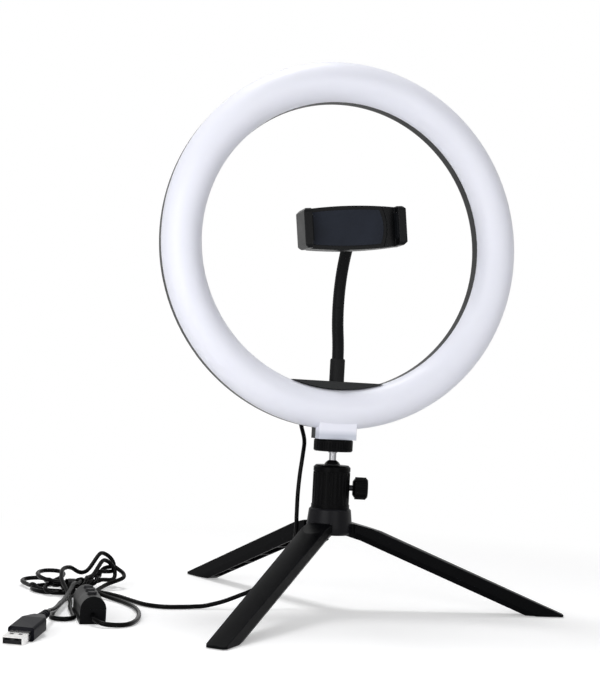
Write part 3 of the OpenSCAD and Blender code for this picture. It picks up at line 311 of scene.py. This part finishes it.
def closed_tube(name, grid, material):
    """A piece from a grid of circles in stand millimetres: quads between neighbours, and one flat face at
    each end. Its UV map runs along the tube in metres and once around it."""
    rows, sides = grid.shape[:2]
    at = np.arange(rows * sides).reshape(rows, sides)
    beside = np.roll(at, -1, axis=1)
    quads = np.stack([at[:-1], beside[:-1], beside[1:], at[1:]], -1).reshape(-1, 4)
    faces = quads.tolist() + [at[0, ::-1].tolist(), at[-1].tolist()]
    mesh = bpy.data.meshes.new(name)
    mesh.from_pydata(((grid + STAND) / 1000).reshape(-1, 3).tolist(), [], faces)
    step = np.linalg.norm(np.diff(grid.mean(axis=1), axis=0), axis=1)
    run = np.concatenate([[0.0], np.cumsum(step)]) / 1000
    u = np.stack([run[:-1], run[:-1], run[1:], run[1:]], -1)[:, None].repeat(sides, axis=1)
    v = np.arange(sides)[None, :, None] + np.array([0, 1, 1, 0])
    uv = np.stack([u, np.broadcast_to(v / sides, u.shape)], -1).reshape(-1, 2)
    uv = np.concatenate([uv, np.zeros((2 * sides, 2))])
    mesh.uv_layers.new(name="run").data.foreach_set("uv", uv.ravel())
    mesh.polygons.foreach_set("use_smooth", np.r_[np.ones(len(quads), bool), False, False])
    mesh.materials.append(material)
    piece = bpy.data.objects.new(name, mesh)
    bpy.context.scene.collection.objects.link(piece)
    return piece


ARM_R, ARM_SIDES, ARM_STEP = 4.15, 40, 0.3
ARM_FROM, BEND_FROM, ARM_TIP = 165.0, 175.0, 4.3
BACK, BACK_R = np.radians(17.0), 55.0         # how far the arm leans back, and on which radius
OVER, OVER_R = np.radians(40.0), 68.0         # how far it then bends over to the front
RIB_PITCH, RIB_DEPTH = 2.1, 0.03              # wire turns showing through the sheath
# Lengths to the first bend, to where the arm leans most, to where it is upright again and to the last
# bend's end.
ARM_FOOT, ARM_LEANT, ARM_MID, ARM_BENT = np.cumsum(
    [BEND_FROM - ARM_FROM, BACK_R * BACK, OVER_R * BACK, OVER_R * OVER])


def arm_line(run):
    """Places on the arm's middle line at lengths along it: straight up, an arc to the back, an arc over to
    the front and a straight tip. Along an arc the height grows with the sine of its angle and the depth
    with its cosine."""
    run = np.asarray(run, float)
    lean = np.clip((run - ARM_FOOT) / BACK_R, 0, BACK)
    nod = BACK - np.clip((run - ARM_LEANT) / OVER_R, 0, BACK + OVER)
    beyond = np.clip(run - ARM_BENT, 0, None)
    y = BACK_R * (1 - np.cos(lean)) + OVER_R * (np.cos(nod) - np.cos(BACK)) - beyond * np.sin(OVER)
    z = ARM_FROM + np.minimum(run, ARM_FOOT) + BACK_R * np.sin(lean) + beyond * np.cos(OVER)
    return np.stack([0 * run, y, z + OVER_R * (np.sin(BACK) - np.sin(nod))], -1)


def arm_grid(low, high):
    """The sheath between two lengths. Its radius swells in a spiral at the pitch of the wire inside."""
    run = np.linspace(low, high, int((high - low) / ARM_STEP))
    turn = np.linspace(0, 2 * np.pi, ARM_SIDES, endpoint=False)
    swell = RIB_DEPTH * np.cos(2 * np.pi * run[:, None] / RIB_PITCH - turn[None])
    return tube_grid(arm_line(run), ARM_R + swell, ARM_SIDES, ACROSS)


def in_part(point):
    """A point of the stand, in millimetres, as a place in the part's own metres."""
    return tuple((np.array(point) + STAND) / 1000)


sheath = moulding("arm_sheath", (0.0045, 0.0047, 0.0052), (0.012, 0.012, 0.013), grain=1900.0,
                  depth=0.00003, roughness=0.5, spread=0.3, specular=0.06)
arm_lower = closed_tube("arm_lower", arm_grid(0.0, ARM_MID), sheath)
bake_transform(arm_lower)
arm_upper = closed_tube("arm_upper", arm_grid(ARM_MID, ARM_BENT + ARM_TIP), sheath)
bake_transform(arm_upper)
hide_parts("gooseneck")
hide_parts("gooseneck")


# Phone clamp
# A hollow body with the left jaw is screwed to a back cover whose socket holds the arm's ball under a ring
# nut. The right jaw slides on a tongue inside it against two wire springs. Soft pads face the body and
# both jaws.

dress(moulding("clamp_abs", (0.0026, 0.0028, 0.0033), (0.016, 0.017, 0.019), grain=2300.0, depth=0.00003,
               edge=0.0007, roughness=0.34, specular=0.10),
      "clamp_nut", "clamp_back", "clamp_body", "sliding_jaw")
dress(moulding("pad_foam", (0.013, 0.0155, 0.0225), (0.022, 0.026, 0.036), grain=1300.0, depth=0.00007,
               edge=0.0004, roughness=0.66, spread=0.2, specular=0.1), "clamp_pad")
dress(moulding("jaw_rubber", (0.0035, 0.004, 0.005), (0.012, 0.013, 0.015), grain=1500.0, depth=0.00005,
               edge=0.0004, roughness=0.6, specular=0.06), "fixed_jaw_pad", "sliding_jaw_pad")
dress(metal("blackened_clamp_steel", (0.16, 0.16, 0.165), (0.07, 0.07, 0.075), roughness=0.42),
      "clamp_screws")
wire = metal("drawn_wire", (0.58, 0.58, 0.59), (0.36, 0.36, 0.38), lines=(5000.0, 300.0, 300.0),
             roughness=0.25)
CLAMP_TURN = np.radians(6.5)                  # the clamp stands turned on its ball
CLAMP_AT = np.array([0.0, -34.175, 262.431])
SPRING_FROM, SPRING_TO, SPRING_DEPTH = -36.3, -21.3, -6.5
SPRING_R, WIRE_R, WIRE_SIDES = 1.85, 0.35, 8
SPRING_TURNS, TURN_POINTS = 7, 40


def in_clamp(across, depth, up):
    """Places in the clamp's own directions as stand places, turned about the depth and set on the ball."""
    x = across * np.cos(CLAMP_TURN) - up * np.sin(CLAMP_TURN)
    z = across * np.sin(CLAMP_TURN) + up * np.cos(CLAMP_TURN)
    return np.stack(np.broadcast_arrays(x, depth, z), -1) + CLAMP_AT


for side, height in (("low", -6.0), ("high", 6.0)):
    share = np.linspace(0, 1, TURN_POINTS * SPRING_TURNS)
    wound = 2 * np.pi * SPRING_TURNS * share
    coil = in_clamp(SPRING_FROM + (SPRING_TO - SPRING_FROM) * share,
                    SPRING_DEPTH + SPRING_R * np.sin(wound),
                    height + SPRING_R * np.cos(wound))
    coil_grid = tube_grid(coil, WIRE_R, WIRE_SIDES, ACROSS)
    spring = closed_tube("jaw_spring_" + side, coil_grid, wire)
    in_part(in_clamp(SPRING_FROM, SPRING_DEPTH, height))
    in_part(in_clamp(SPRING_TO, SPRING_DEPTH, height))
    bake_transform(spring)
    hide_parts("jaw_springs")


# Hanging lead
# A round black lead of 3 mm leaves the boot on the ring's back, hangs beside the head and runs along the
# floor into a tied hank, on to the control box, round in a wide loop, through the hank again and out to
# the plug. The hanging stretch is in three pieces, cut at the heights where the ball and the head hold it.

CORD_R, CORD_SIDES = 1.5, 12
pvc = moulding("lead_pvc", (0.0016, 0.0016, 0.0018), (0.006, 0.006, 0.0064), grain=1500.0, depth=0.00002,
               edge=0.0002, roughness=0.24, spread=0.25, specular=0.045)


def smooth_route(points, steps):
    """A curve through all points: on each stretch the cubic whose slopes at both ends are half the
    difference of the neighbouring points."""
    p = np.asarray(points, float)
    p = np.vstack([2 * p[0] - p[1], p, 2 * p[-1] - p[-2]])
    a, b, c, d = (p[i:len(p) - 3 + i, None] for i in range(4))
    t = (np.arange(steps) / steps)[None, :, None]
    square = t ** 2 * (a - 2.5 * b + 2 * c - 0.5 * d)
    cube = t ** 3 * 0.5 * (d - a + 3 * (b - c))
    return np.vstack([(b + 0.5 * t * (c - a) + square + cube).reshape(-1, 3), p[-2]])


def run_of(points, step=2.0):
    """The smooth route through points, as places a fixed step apart along it."""
    path = smooth_route(points, 24)
    run = np.r_[0, np.cumsum(np.linalg.norm(np.diff(path, axis=0), axis=1))]
    at = np.linspace(0, run[-1], int(run[-1] / step) + 1)
    return np.stack([np.interp(at, run, path[:, k]) for k in range(3)], -1)


def fold(middle, reach, across, radius):
    """The end of a fold: half a circle about its middle, from one side across, out along the reach, to the
    other."""
    across = np.array(across) / np.linalg.norm(across)
    reach = np.array(reach) - across * np.dot(reach, across)
    reach = reach / np.linalg.norm(reach)
    return [middle + radius * (np.sin(t) * reach - np.cos(t) * across) for t in np.linspace(0, np.pi, 6)]


EASY_BEND, BEND_SPAN = 7.6, 3.0               # tighter bends are eased, and fully so a span below it
EASE, EASE_TIGHT, RETURN = 0.03, 0.3, 0.02    # shares of the way that a point goes in one round
CORD_CLEAR, PART_SHARE = 0.08, 0.6            # room between turns, and share of an overlap undone
FLOOR_CLEAR = 0.05
LOOSE_BELOW, LOOSE_LEFT = 30, -95             # only the lead on the floor, left of the tripod, settles
HANK_BEHIND = 26                              # the lead further back than this lies turn on turn
ENDS_HELD, SAME_TURN = 5, 9                   # points held at an end, and points of one same turn


def settle(runs, rounds=220):
    """Lets cords that lie on each other find their places. In every round a point moves a little towards
    the place drawn for it, towards the middle of its neighbours, more so in a tight bend and beside it,
    away from a point of another turn that is less than a cord's width off, and up from the floor. The ends
    stay. The radius of a bend is that of the circle through three points: the product of the sides of
    their triangle over four times its area."""
    drawn = np.vstack(runs)
    ends = np.cumsum([0] + [len(run) for run in runs])
    inner = np.ones(len(drawn), bool)
    for end in ends:
        inner[max(end - ENDS_HELD, 0):end + ENDS_HELD] = False
    inner &= (drawn[:, 2] < LOOSE_BELOW) & (drawn[:, 0] < LOOSE_LEFT)
    crowd = np.where(drawn[:, 1] > HANK_BEHIND)[0]
    own = np.searchsorted(ends, crowd, side="right")
    beside = (own[:, None] == own[None]) & (np.abs(crowd[:, None] - crowd[None]) < SAME_TURN)
    place = drawn.copy()
    for _ in range(rounds):
        ahead, behind = np.roll(place, -1, axis=0), np.roll(place, 1, axis=0)
        far, back = np.roll(place, -2, axis=0), np.roll(place, 2, axis=0)
        chord = np.linalg.norm(far - back, axis=1)
        side = np.linalg.norm(far - place, axis=1) * np.linalg.norm(place - back, axis=1)
        twice_area = np.linalg.norm(np.cross(place - back, far - back), axis=1)
        bend = side * chord / np.maximum(2 * twice_area, 1e-9)
        tight = np.clip((EASY_BEND - bend) / BEND_SPAN, 0, 1)
        tight = np.convolve(tight, np.ones(7) / 4, "same").clip(0, 1)
        ease = (EASE + EASE_TIGHT * tight)[:, None]
        move = ((ahead + behind) / 2 - place) * ease + RETURN * (drawn - place)
        apart = place[crowd][:, None] - place[crowd][None]
        gap = np.linalg.norm(apart, axis=2)
        push = np.where(beside, 0, np.clip(2 * CORD_R + CORD_CLEAR - gap, 0, None)) / 2 * PART_SHARE
        move[crowd] += (apart * (push / np.maximum(gap, 1e-3))[..., None]).sum(axis=1)
        place[inner] += move[inner]
        place[:, 2] = np.maximum(place[:, 2], CORD_R + FLOOR_CLEAR)
    return [place[a:b] for a, b in zip(ends[:-1], ends[1:])]


def lead_piece(name, path, reference, **facts):
    """A length of the lead along a path in stand millimetres, as a closed round tube."""
    piece = closed_tube(name, tube_grid(path, CORD_R, CORD_SIDES, np.array(reference)), pvc)
    return piece


# From the ring to the control box: down to the floor, along it, and in folds left and right of the tie.
drop = [(-19, 20.3, 133.7), (-18.8, 22.8, 130.6), (-17.6, 21.5, 125), (-17, 15, 116), (-19, 10, 106),
        (-21, 8, 92), (-22, 7, 78), (-22, 7, 64), (-22, 7, 50), (-27, 5, 34), (-43, -1, 18), (-68, -3, 7),
        (-84, -3.8, 2.6), (-93, -4.6, 1.8)]
lead = [(-104, -6, 1.7), (-115, -5.6, 1.7), (-125, 2, 1.7), (-132, 16, 1.7), (-139, 31, 2.0),
        (-147, 43, 2.2), (-154, 48.5, 2.4), (-163, 50.5, 2.4), (-172, 50.5, 2.4)]
left_wide = [(-181, 51, 2.4), (-188.5, 56, 2.2), (-195, 65, 2.4), (-200, 77, 3), (-203, 89, 3.5),
             (-199, 97, 4), (-191.5, 98, 4.5), (-187, 90, 5), (-186.5, 78, 5), (-184.5, 66, 5),
             (-180, 55, 5.5), (-172, 50.5, 5.5)]
right_low = [(-164, 52, 6), (-159.5, 58, 6.5), (-153, 66, 8), (-149, 76, 10.5),
             *fold((-139, 80, 11), (0.75, 0.6, 0.1), (0.55, -0.72, -0.38), 9.0),
             (-143.5, 68, 5), (-150.5, 58.5, 3), (-155, 51, 2.2), (-164, 47.5, 2.4), (-172, 47, 2.4)]
left_flat = [(-181, 47, 2.2), (-187.5, 49, 1.8), (-193.5, 54, 1.8), (-197, 63, 2), (-194, 72, 2.5),
             (-185.5, 76, 3), (-178.5, 70.5, 4), (-177, 62, 5), (-177, 53, 5.5), (-172, 47, 5.5)]
right_middle = [(-164.5, 49.5, 7.5), (-160.5, 57, 9.5), (-155, 64, 11.5),
                *fold((-142, 80, 13), (0.5, 0.84, 0.2), (0.57, 0, -0.81), 8.6),
                (-150, 69.5, 8), (-157.5, 60, 7.5), (-165, 52, 9), (-172, 50, 8.5)]
left_high = [(-181, 52, 8.5), (-187, 57, 9), (-192, 66, 10), (-193, 77, 11), (-187.5, 86, 11.5),
             (-178.5, 85, 11.5), (-174.5, 76, 11), (-177.5, 66, 9.5), (-184.5, 57, 7.5),
             (-190.5, 49.5, 4.5), (-187.5, 43, 2.5), (-180, 42.5, 2.4), (-172, 43.5, 2.4)]
link = [(-164, 43, 2.2), (-157, 39.5, 1.8), (-154.5, 31.5, 1.7), (-158, 21, 2), (-163.5, 9, 3.5),
        (-166.5, -1.5, 5.5), (-167, -11.8, 6)]
ring_points = drop + lead + left_wide + right_low + left_flat + right_middle + left_high + link

# From the control box to the plug: a wide loop, a fold to the front, one over the top, and out.
loop = [(-167, -60.2, 6), (-166.8, -66.5, 4.5), (-161, -72.5, 2.4), (-148, -70, 1.7), (-139.5, -55, 1.7),
        (-134.5, -31, 1.7), (-134.5, -8, 1.7), (-139.5, 12, 1.7), (-146, 26, 2), (-152.5, 36, 3),
        (-159, 40, 4.5)]
front = [(-165.5, 39.5, 4.5), (-171, 32.5, 2.5), (-177, 21, 1.7), (-181.5, 7, 1.7), (-185, -10, 1.7),
         (-188.5, -27, 1.7), (-190, -38, 1.7), *fold((-184.3, -45.5, 1.7), (0, -1, 0), (1, 0, 0), 7.5),
         (-177, -36, 1.7), (-176.8, -24, 1.7), (-176.5, -8, 1.7), (-175, 6, 2), (-175, 20, 3.5),
         (-176.5, 32, 7.5), (-178.5, 43, 11.5)]
top = [(-178, 53, 15.5), (-176, 60, 17), (-171.5, 66, 17), (-168, 70, 15), (-164.5, 72, 12.5),
       (-161, 73.5, 12), (-157, 76, 14),
       *fold((-142.5, 87, 17.5), (0.42, 0.87, 0.3), (0.73, 0, -0.68), 8.8),
       (-147, 79, 12), (-153.5, 70, 10), (-159.5, 59, 8.5), (-166, 47, 8)]
tail = [(-170.5, 36, 10), (-174, 22, 8), (-179, 1, 6), (-184.5, -22, 5.5), (-190, -48, 7), (-194, -65, 9),
        (-195.9, -74.5, 9.7)]
plug_points = loop + front + top + tail

settled = settle([run_of(ring_points), run_of(plug_points)])
ring_path, plug_path = (smooth_route(run, 2) for run in settled)
LANDING_Z = 39.5                              # height where the hanging stretch ends
HANG_CUTS = (107.5, 78.0, 55.5)               # heights where the ball, the head and the stand hold the lead
LEVEL = (0.6, 0.8, 0.0)                       # direction that no stretch of the hanging lead runs in
landing = int(np.argmax(ring_path[:, 2] < LANDING_Z))
hanging = ring_path[:landing + 1]
upper_end, lower_end, still_end = (int(np.argmax(hanging[:, 2] < z)) for z in HANG_CUTS)
drop_top = lead_piece("lead_drop_top", hanging[:upper_end + 1], LEVEL, far_end="object", lay="hanging")
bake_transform(drop_top)
drop_mid = lead_piece("lead_drop_middle", hanging[upper_end:lower_end + 1], LEVEL, far_end="object",
                      lay="hanging")
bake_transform(drop_mid)
drop_low = lead_piece("lead_drop_low", hanging[lower_end:], LEVEL, far_end="object", lay="hanging")
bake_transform(drop_low)
for piece in (drop_top, drop_mid, drop_low):
    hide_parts("cord_drop")


# Tie of the hank
# A flat wire tie of black-coated ribbon holds the hank. It is wound twice round the middle of the bundle
# and pressed tight, with the second turn a little beside and outside the first.

TIE_MID = np.array([-172.0, 47.2, 5.6])
TIE_HALF = np.array([6.0, 5.3])               # half depth and half height of the first turn
TIE_TURNS, TIE_START = 2, 0.25                # turns, and the share of a turn at which the ribbon starts
TIE_GROWTH, TIE_SPREAD = 0.10, 1.6            # how much it widens, and half its way along the lead
TIE_LOWEST = 0.5
RIBBON = (1.9, 0.35)                          # half width and half thickness


def ribbon_grid(path, across, face, half_width, half_thickness, sides=12):
    """A flat ribbon: an oval whose wide axis lies across and whose thin axis lies along face, carried along
    a path. The sine and cosine are raised to powers below 1, which fills out its corners."""
    turn = np.linspace(0, 2 * np.pi, sides, endpoint=False)
    wide = np.sign(np.cos(turn)) * np.abs(np.cos(turn)) ** 0.5 * half_width
    thin = np.sign(np.sin(turn)) * np.abs(np.sin(turn)) ** 0.7 * half_thickness
    return path[:, None] + wide[None, :, None] * across[:, None] + thin[None, :, None] * face[:, None]


share = np.linspace(0, 1, 140)
wound = 2 * np.pi * (TIE_TURNS * share + TIE_START)
square_off = (np.abs(np.cos(wound)) ** 3 + np.abs(np.sin(wound)) ** 3) ** (-1 / 3)   # fuller than an oval
grow = 1 + TIE_GROWTH * share
hold = np.stack([TIE_MID[0] + 2.0 * (share - 0.5) * TIE_SPREAD,
                 TIE_MID[1] - TIE_HALF[0] * square_off * grow * np.cos(wound),
                 TIE_MID[2] + TIE_HALF[1] * square_off * grow * np.sin(wound)], -1)
hold[:, 2] = np.maximum(hold[:, 2], TIE_LOWEST)
outward = np.stack([0 * share, -np.cos(wound), np.sin(wound)], -1)
along_lead = np.tile(-ACROSS, (len(share), 1))
tie_skin = moulding("tie_ribbon", (0.003, 0.003, 0.0034), (0.014, 0.014, 0.015), grain=900.0,
                    depth=0.00006, edge=0.0002, roughness=0.4, specular=0.06)
tie = closed_tube("hank_tie", ribbon_grid(hold, along_lead, outward, *RIBBON), tie_skin)
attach(tie, "stand")
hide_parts("cord_tie")


# Lead through the hank
# The two lengths that the tie holds together: one from the foot of the tripod to the control box, and one
# from the box to the plug. Both are the same round lead, laid in folds.

NEAR_UP = (0.1, 0.05, 1.0)                    # direction that no stretch on the floor runs in
box_names = ("box_base", "box_cover", "box_board", "button_power", "button_up", "button_down")
ring_run = lead_piece("lead_ring_run", ring_path[landing:], NEAR_UP, far_end="object", lay="coiled",
                      with_pieces=[tie] + [nodes[name] for name in box_names])
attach(ring_run, "stand")
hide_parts("cord_lead", "cord_hank", "cord_link")

plug_names = ("usb_body", "usb_shell", "usb_tongue")
plug_run = lead_piece("lead_plug_run", plug_path, NEAR_UP, far_end="plug", lay="coiled",
                      with_pieces=[nodes[name] for name in plug_names])
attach(plug_run, "stand")
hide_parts("cord_loop", "cord_tail")


# Control box and plug
# Two satin halves snap together over a small board. Three rubber buttons stand through the crown. The plug
# has an overmoulded body with a stepped relief, a folded nickel-plated shell and a black tongue.

dress(moulding("box_abs", (0.002, 0.0021, 0.0025), (0.014, 0.015, 0.017), grain=2300.0, depth=0.00003,
               roughness=0.36, specular=0.05), "box_base", "box_cover")
dress(moulding("box_board_mask", (0.03, 0.16, 0.07), (0.1, 0.2, 0.1), roughness=0.35), "box_board")
dress(moulding("button_rubber", (0.010, 0.010, 0.0115), (0.02, 0.02, 0.022), grain=1600.0, depth=0.00003,
               edge=0.0004, roughness=0.5, specular=0.08), "button_power", "button_up", "button_down")
dress(moulding("plug_overmould", (0.002, 0.0022, 0.0042), (0.014, 0.015, 0.02), grain=2000.0,
               depth=0.00003, roughness=0.32, specular=0.05), "usb_body")
dress(metal("nickel_plate", (0.80, 0.79, 0.78), (0.62, 0.61, 0.60), lines=(900.0, 900.0, 900.0),
            depth=0.000004, roughness=0.18), "usb_shell")
dress(moulding("tongue_nylon", (0.008, 0.008, 0.009), (0.02, 0.02, 0.021), depth=0.000008, roughness=0.4,
               specular=0.1), "usb_tongue")


# Studio
# A white sweep under a soft lamp above and behind, with a key lamp low on the left, a weak lamp low in
# front that lifts the undersides, and even light all round.

def stage_plane(name, half, material):
    """A square on the floor, large enough that its edge is never seen."""
    corners = [(-half, -half, 0), (half, -half, 0), (half, half, 0), (-half, half, 0)]
    mesh = bpy.data.meshes.new(name)
    mesh.from_pydata(corners, [], [(0, 1, 2, 3)])
    mesh.materials.append(material)
    plane = bpy.data.objects.new(name, mesh)
    bpy.context.scene.collection.objects.link(plane)


def seen_directly(tree):
    """1 for rays from the camera, in gloss or through glass, and 0 for rays that only carry light."""
    path = add(tree, "ShaderNodeLightPath").outputs
    gloss = reckon(tree, "MAXIMUM", path["Is Camera Ray"], path["Is Glossy Ray"])
    return reckon(tree, "MAXIMUM", gloss, path["Is Transmission Ray"])


WHITE = (1, 1, 1, 1)
FLOOR_LIFT = 0.32                             # what the sweep's own whiteness adds for the camera
WHITE_FROM, WHITE_BY = 0.28, 0.6              # distances between which the sweep goes over to plain white
sweep = bpy.data.materials.new("white_sweep")
sweep.use_nodes = True
tree = sweep.node_tree
tree.nodes.remove(tree.nodes["Principled BSDF"])
paper = add(tree, "ShaderNodeBsdfDiffuse", {"Color": (0.86, 0.86, 0.865, 1)}).outputs[0]
seen = seen_directly(tree)
lift = reckon(tree, "MULTIPLY", seen, FLOOR_LIFT)
glow = add(tree, "ShaderNodeEmission", {"Color": WHITE, "Strength": lift}).outputs[0]
near = add(tree, "ShaderNodeAddShader", {0: paper, 1: glow}).outputs[0]
white = add(tree, "ShaderNodeEmission", {"Color": WHITE, "Strength": seen}).outputs[0]
place = add(tree, "ShaderNodeTexCoord").outputs["Object"]
far = add(tree, "ShaderNodeVectorMath", {0: place}, operation="LENGTH").outputs["Value"]
fade = stretch(tree, far, WHITE_FROM, WHITE_BY, interpolation_type="SMOOTHSTEP")
fade = reckon(tree, "MULTIPLY", fade, seen)
mixed = add(tree, "ShaderNodeMixShader", {0: fade, 1: near, 2: white}).outputs[0]
tree.links.new(mixed, tree.nodes["Material Output"].inputs["Surface"])
stage_plane("floor", 6.0, sweep)

AIR_LIGHT = 0.35                              # strength of the light all round
world = bpy.data.worlds.new("studio")
bpy.context.scene.world = world
world.use_nodes = True
tree = world.node_tree
air = tree.nodes["Background"]
air.inputs["Color"].default_value = WHITE
tree.links.new(stretch(tree, seen_directly(tree), 0.0, 1.0, AIR_LIGHT, 1.0), air.inputs["Strength"])


def turned_to(right, up, back, place):
    """The matrix of an object at a place whose own x, y and z axes point right, up and back."""
    turn = np.eye(4)
    turn[:3, 0], turn[:3, 1], turn[:3, 2], turn[:3, 3] = right, up, back, place
    return Matrix(turn.tolist())


def soft_lamp(name, place, aim, size, power):
    """A square white lamp at a place, turned so that its face looks at the aim."""
    lamp = bpy.data.lights.new(name, "AREA")
    lamp.size, lamp.energy = size, power
    holder = bpy.data.objects.new(name, lamp)
    away = np.array(place) - np.array(aim)
    away = away / np.linalg.norm(away)
    right = np.cross((0, 0, 1), away)
    right = right / np.linalg.norm(right)
    holder.matrix_world = turned_to(right, np.cross(away, right), away, place)
    bpy.context.scene.collection.objects.link(holder)


soft_lamp("top_lamp", (-0.16, 0.25, 1.45), (0.0, 0.0, 0.0), 0.4, 8.5)
soft_lamp("key_lamp", (-0.75, -0.75, 0.3), (-0.02, 0.0, 0.22), 0.7, 6.8)
soft_lamp("low_lamp", (0.2, -1.1, 0.08), (0.0, 0.0, 0.15), 0.6, 3.4)


# Camera
# It stands in front and to the left, low over the table, and looks slightly up, as in the photograph. It is
# held a little askew.

EYE = np.array([-0.27198, -0.83275, 0.1426])
YAW = np.array([0.2635, 0.96466])             # the view's direction over the floor
PITCH, ROLL = np.radians(2.482), np.radians(3.049)
LENS, SENSOR = 62.706, 36.0
forward = np.array([*(YAW * np.cos(PITCH)), np.sin(PITCH)])
level = np.array([YAW[1], -YAW[0], 0.0])
upright = np.array([*(-YAW * np.sin(PITCH)), np.cos(PITCH)])
right = np.cos(ROLL) * level + np.sin(ROLL) * upright
up = -np.sin(ROLL) * level + np.cos(ROLL) * upright
camera = bpy.data.cameras.new("camera")
camera.lens, camera.sensor_width, camera.sensor_fit = LENS, SENSOR, "AUTO"
viewer = bpy.data.objects.new("camera", camera)
viewer.matrix_world = turned_to(right, up, -forward, EYE)
bpy.context.scene.collection.objects.link(viewer)
bpy.context.scene.camera = viewer
bpy.context.scene.view_settings.view_transform = "Standard"
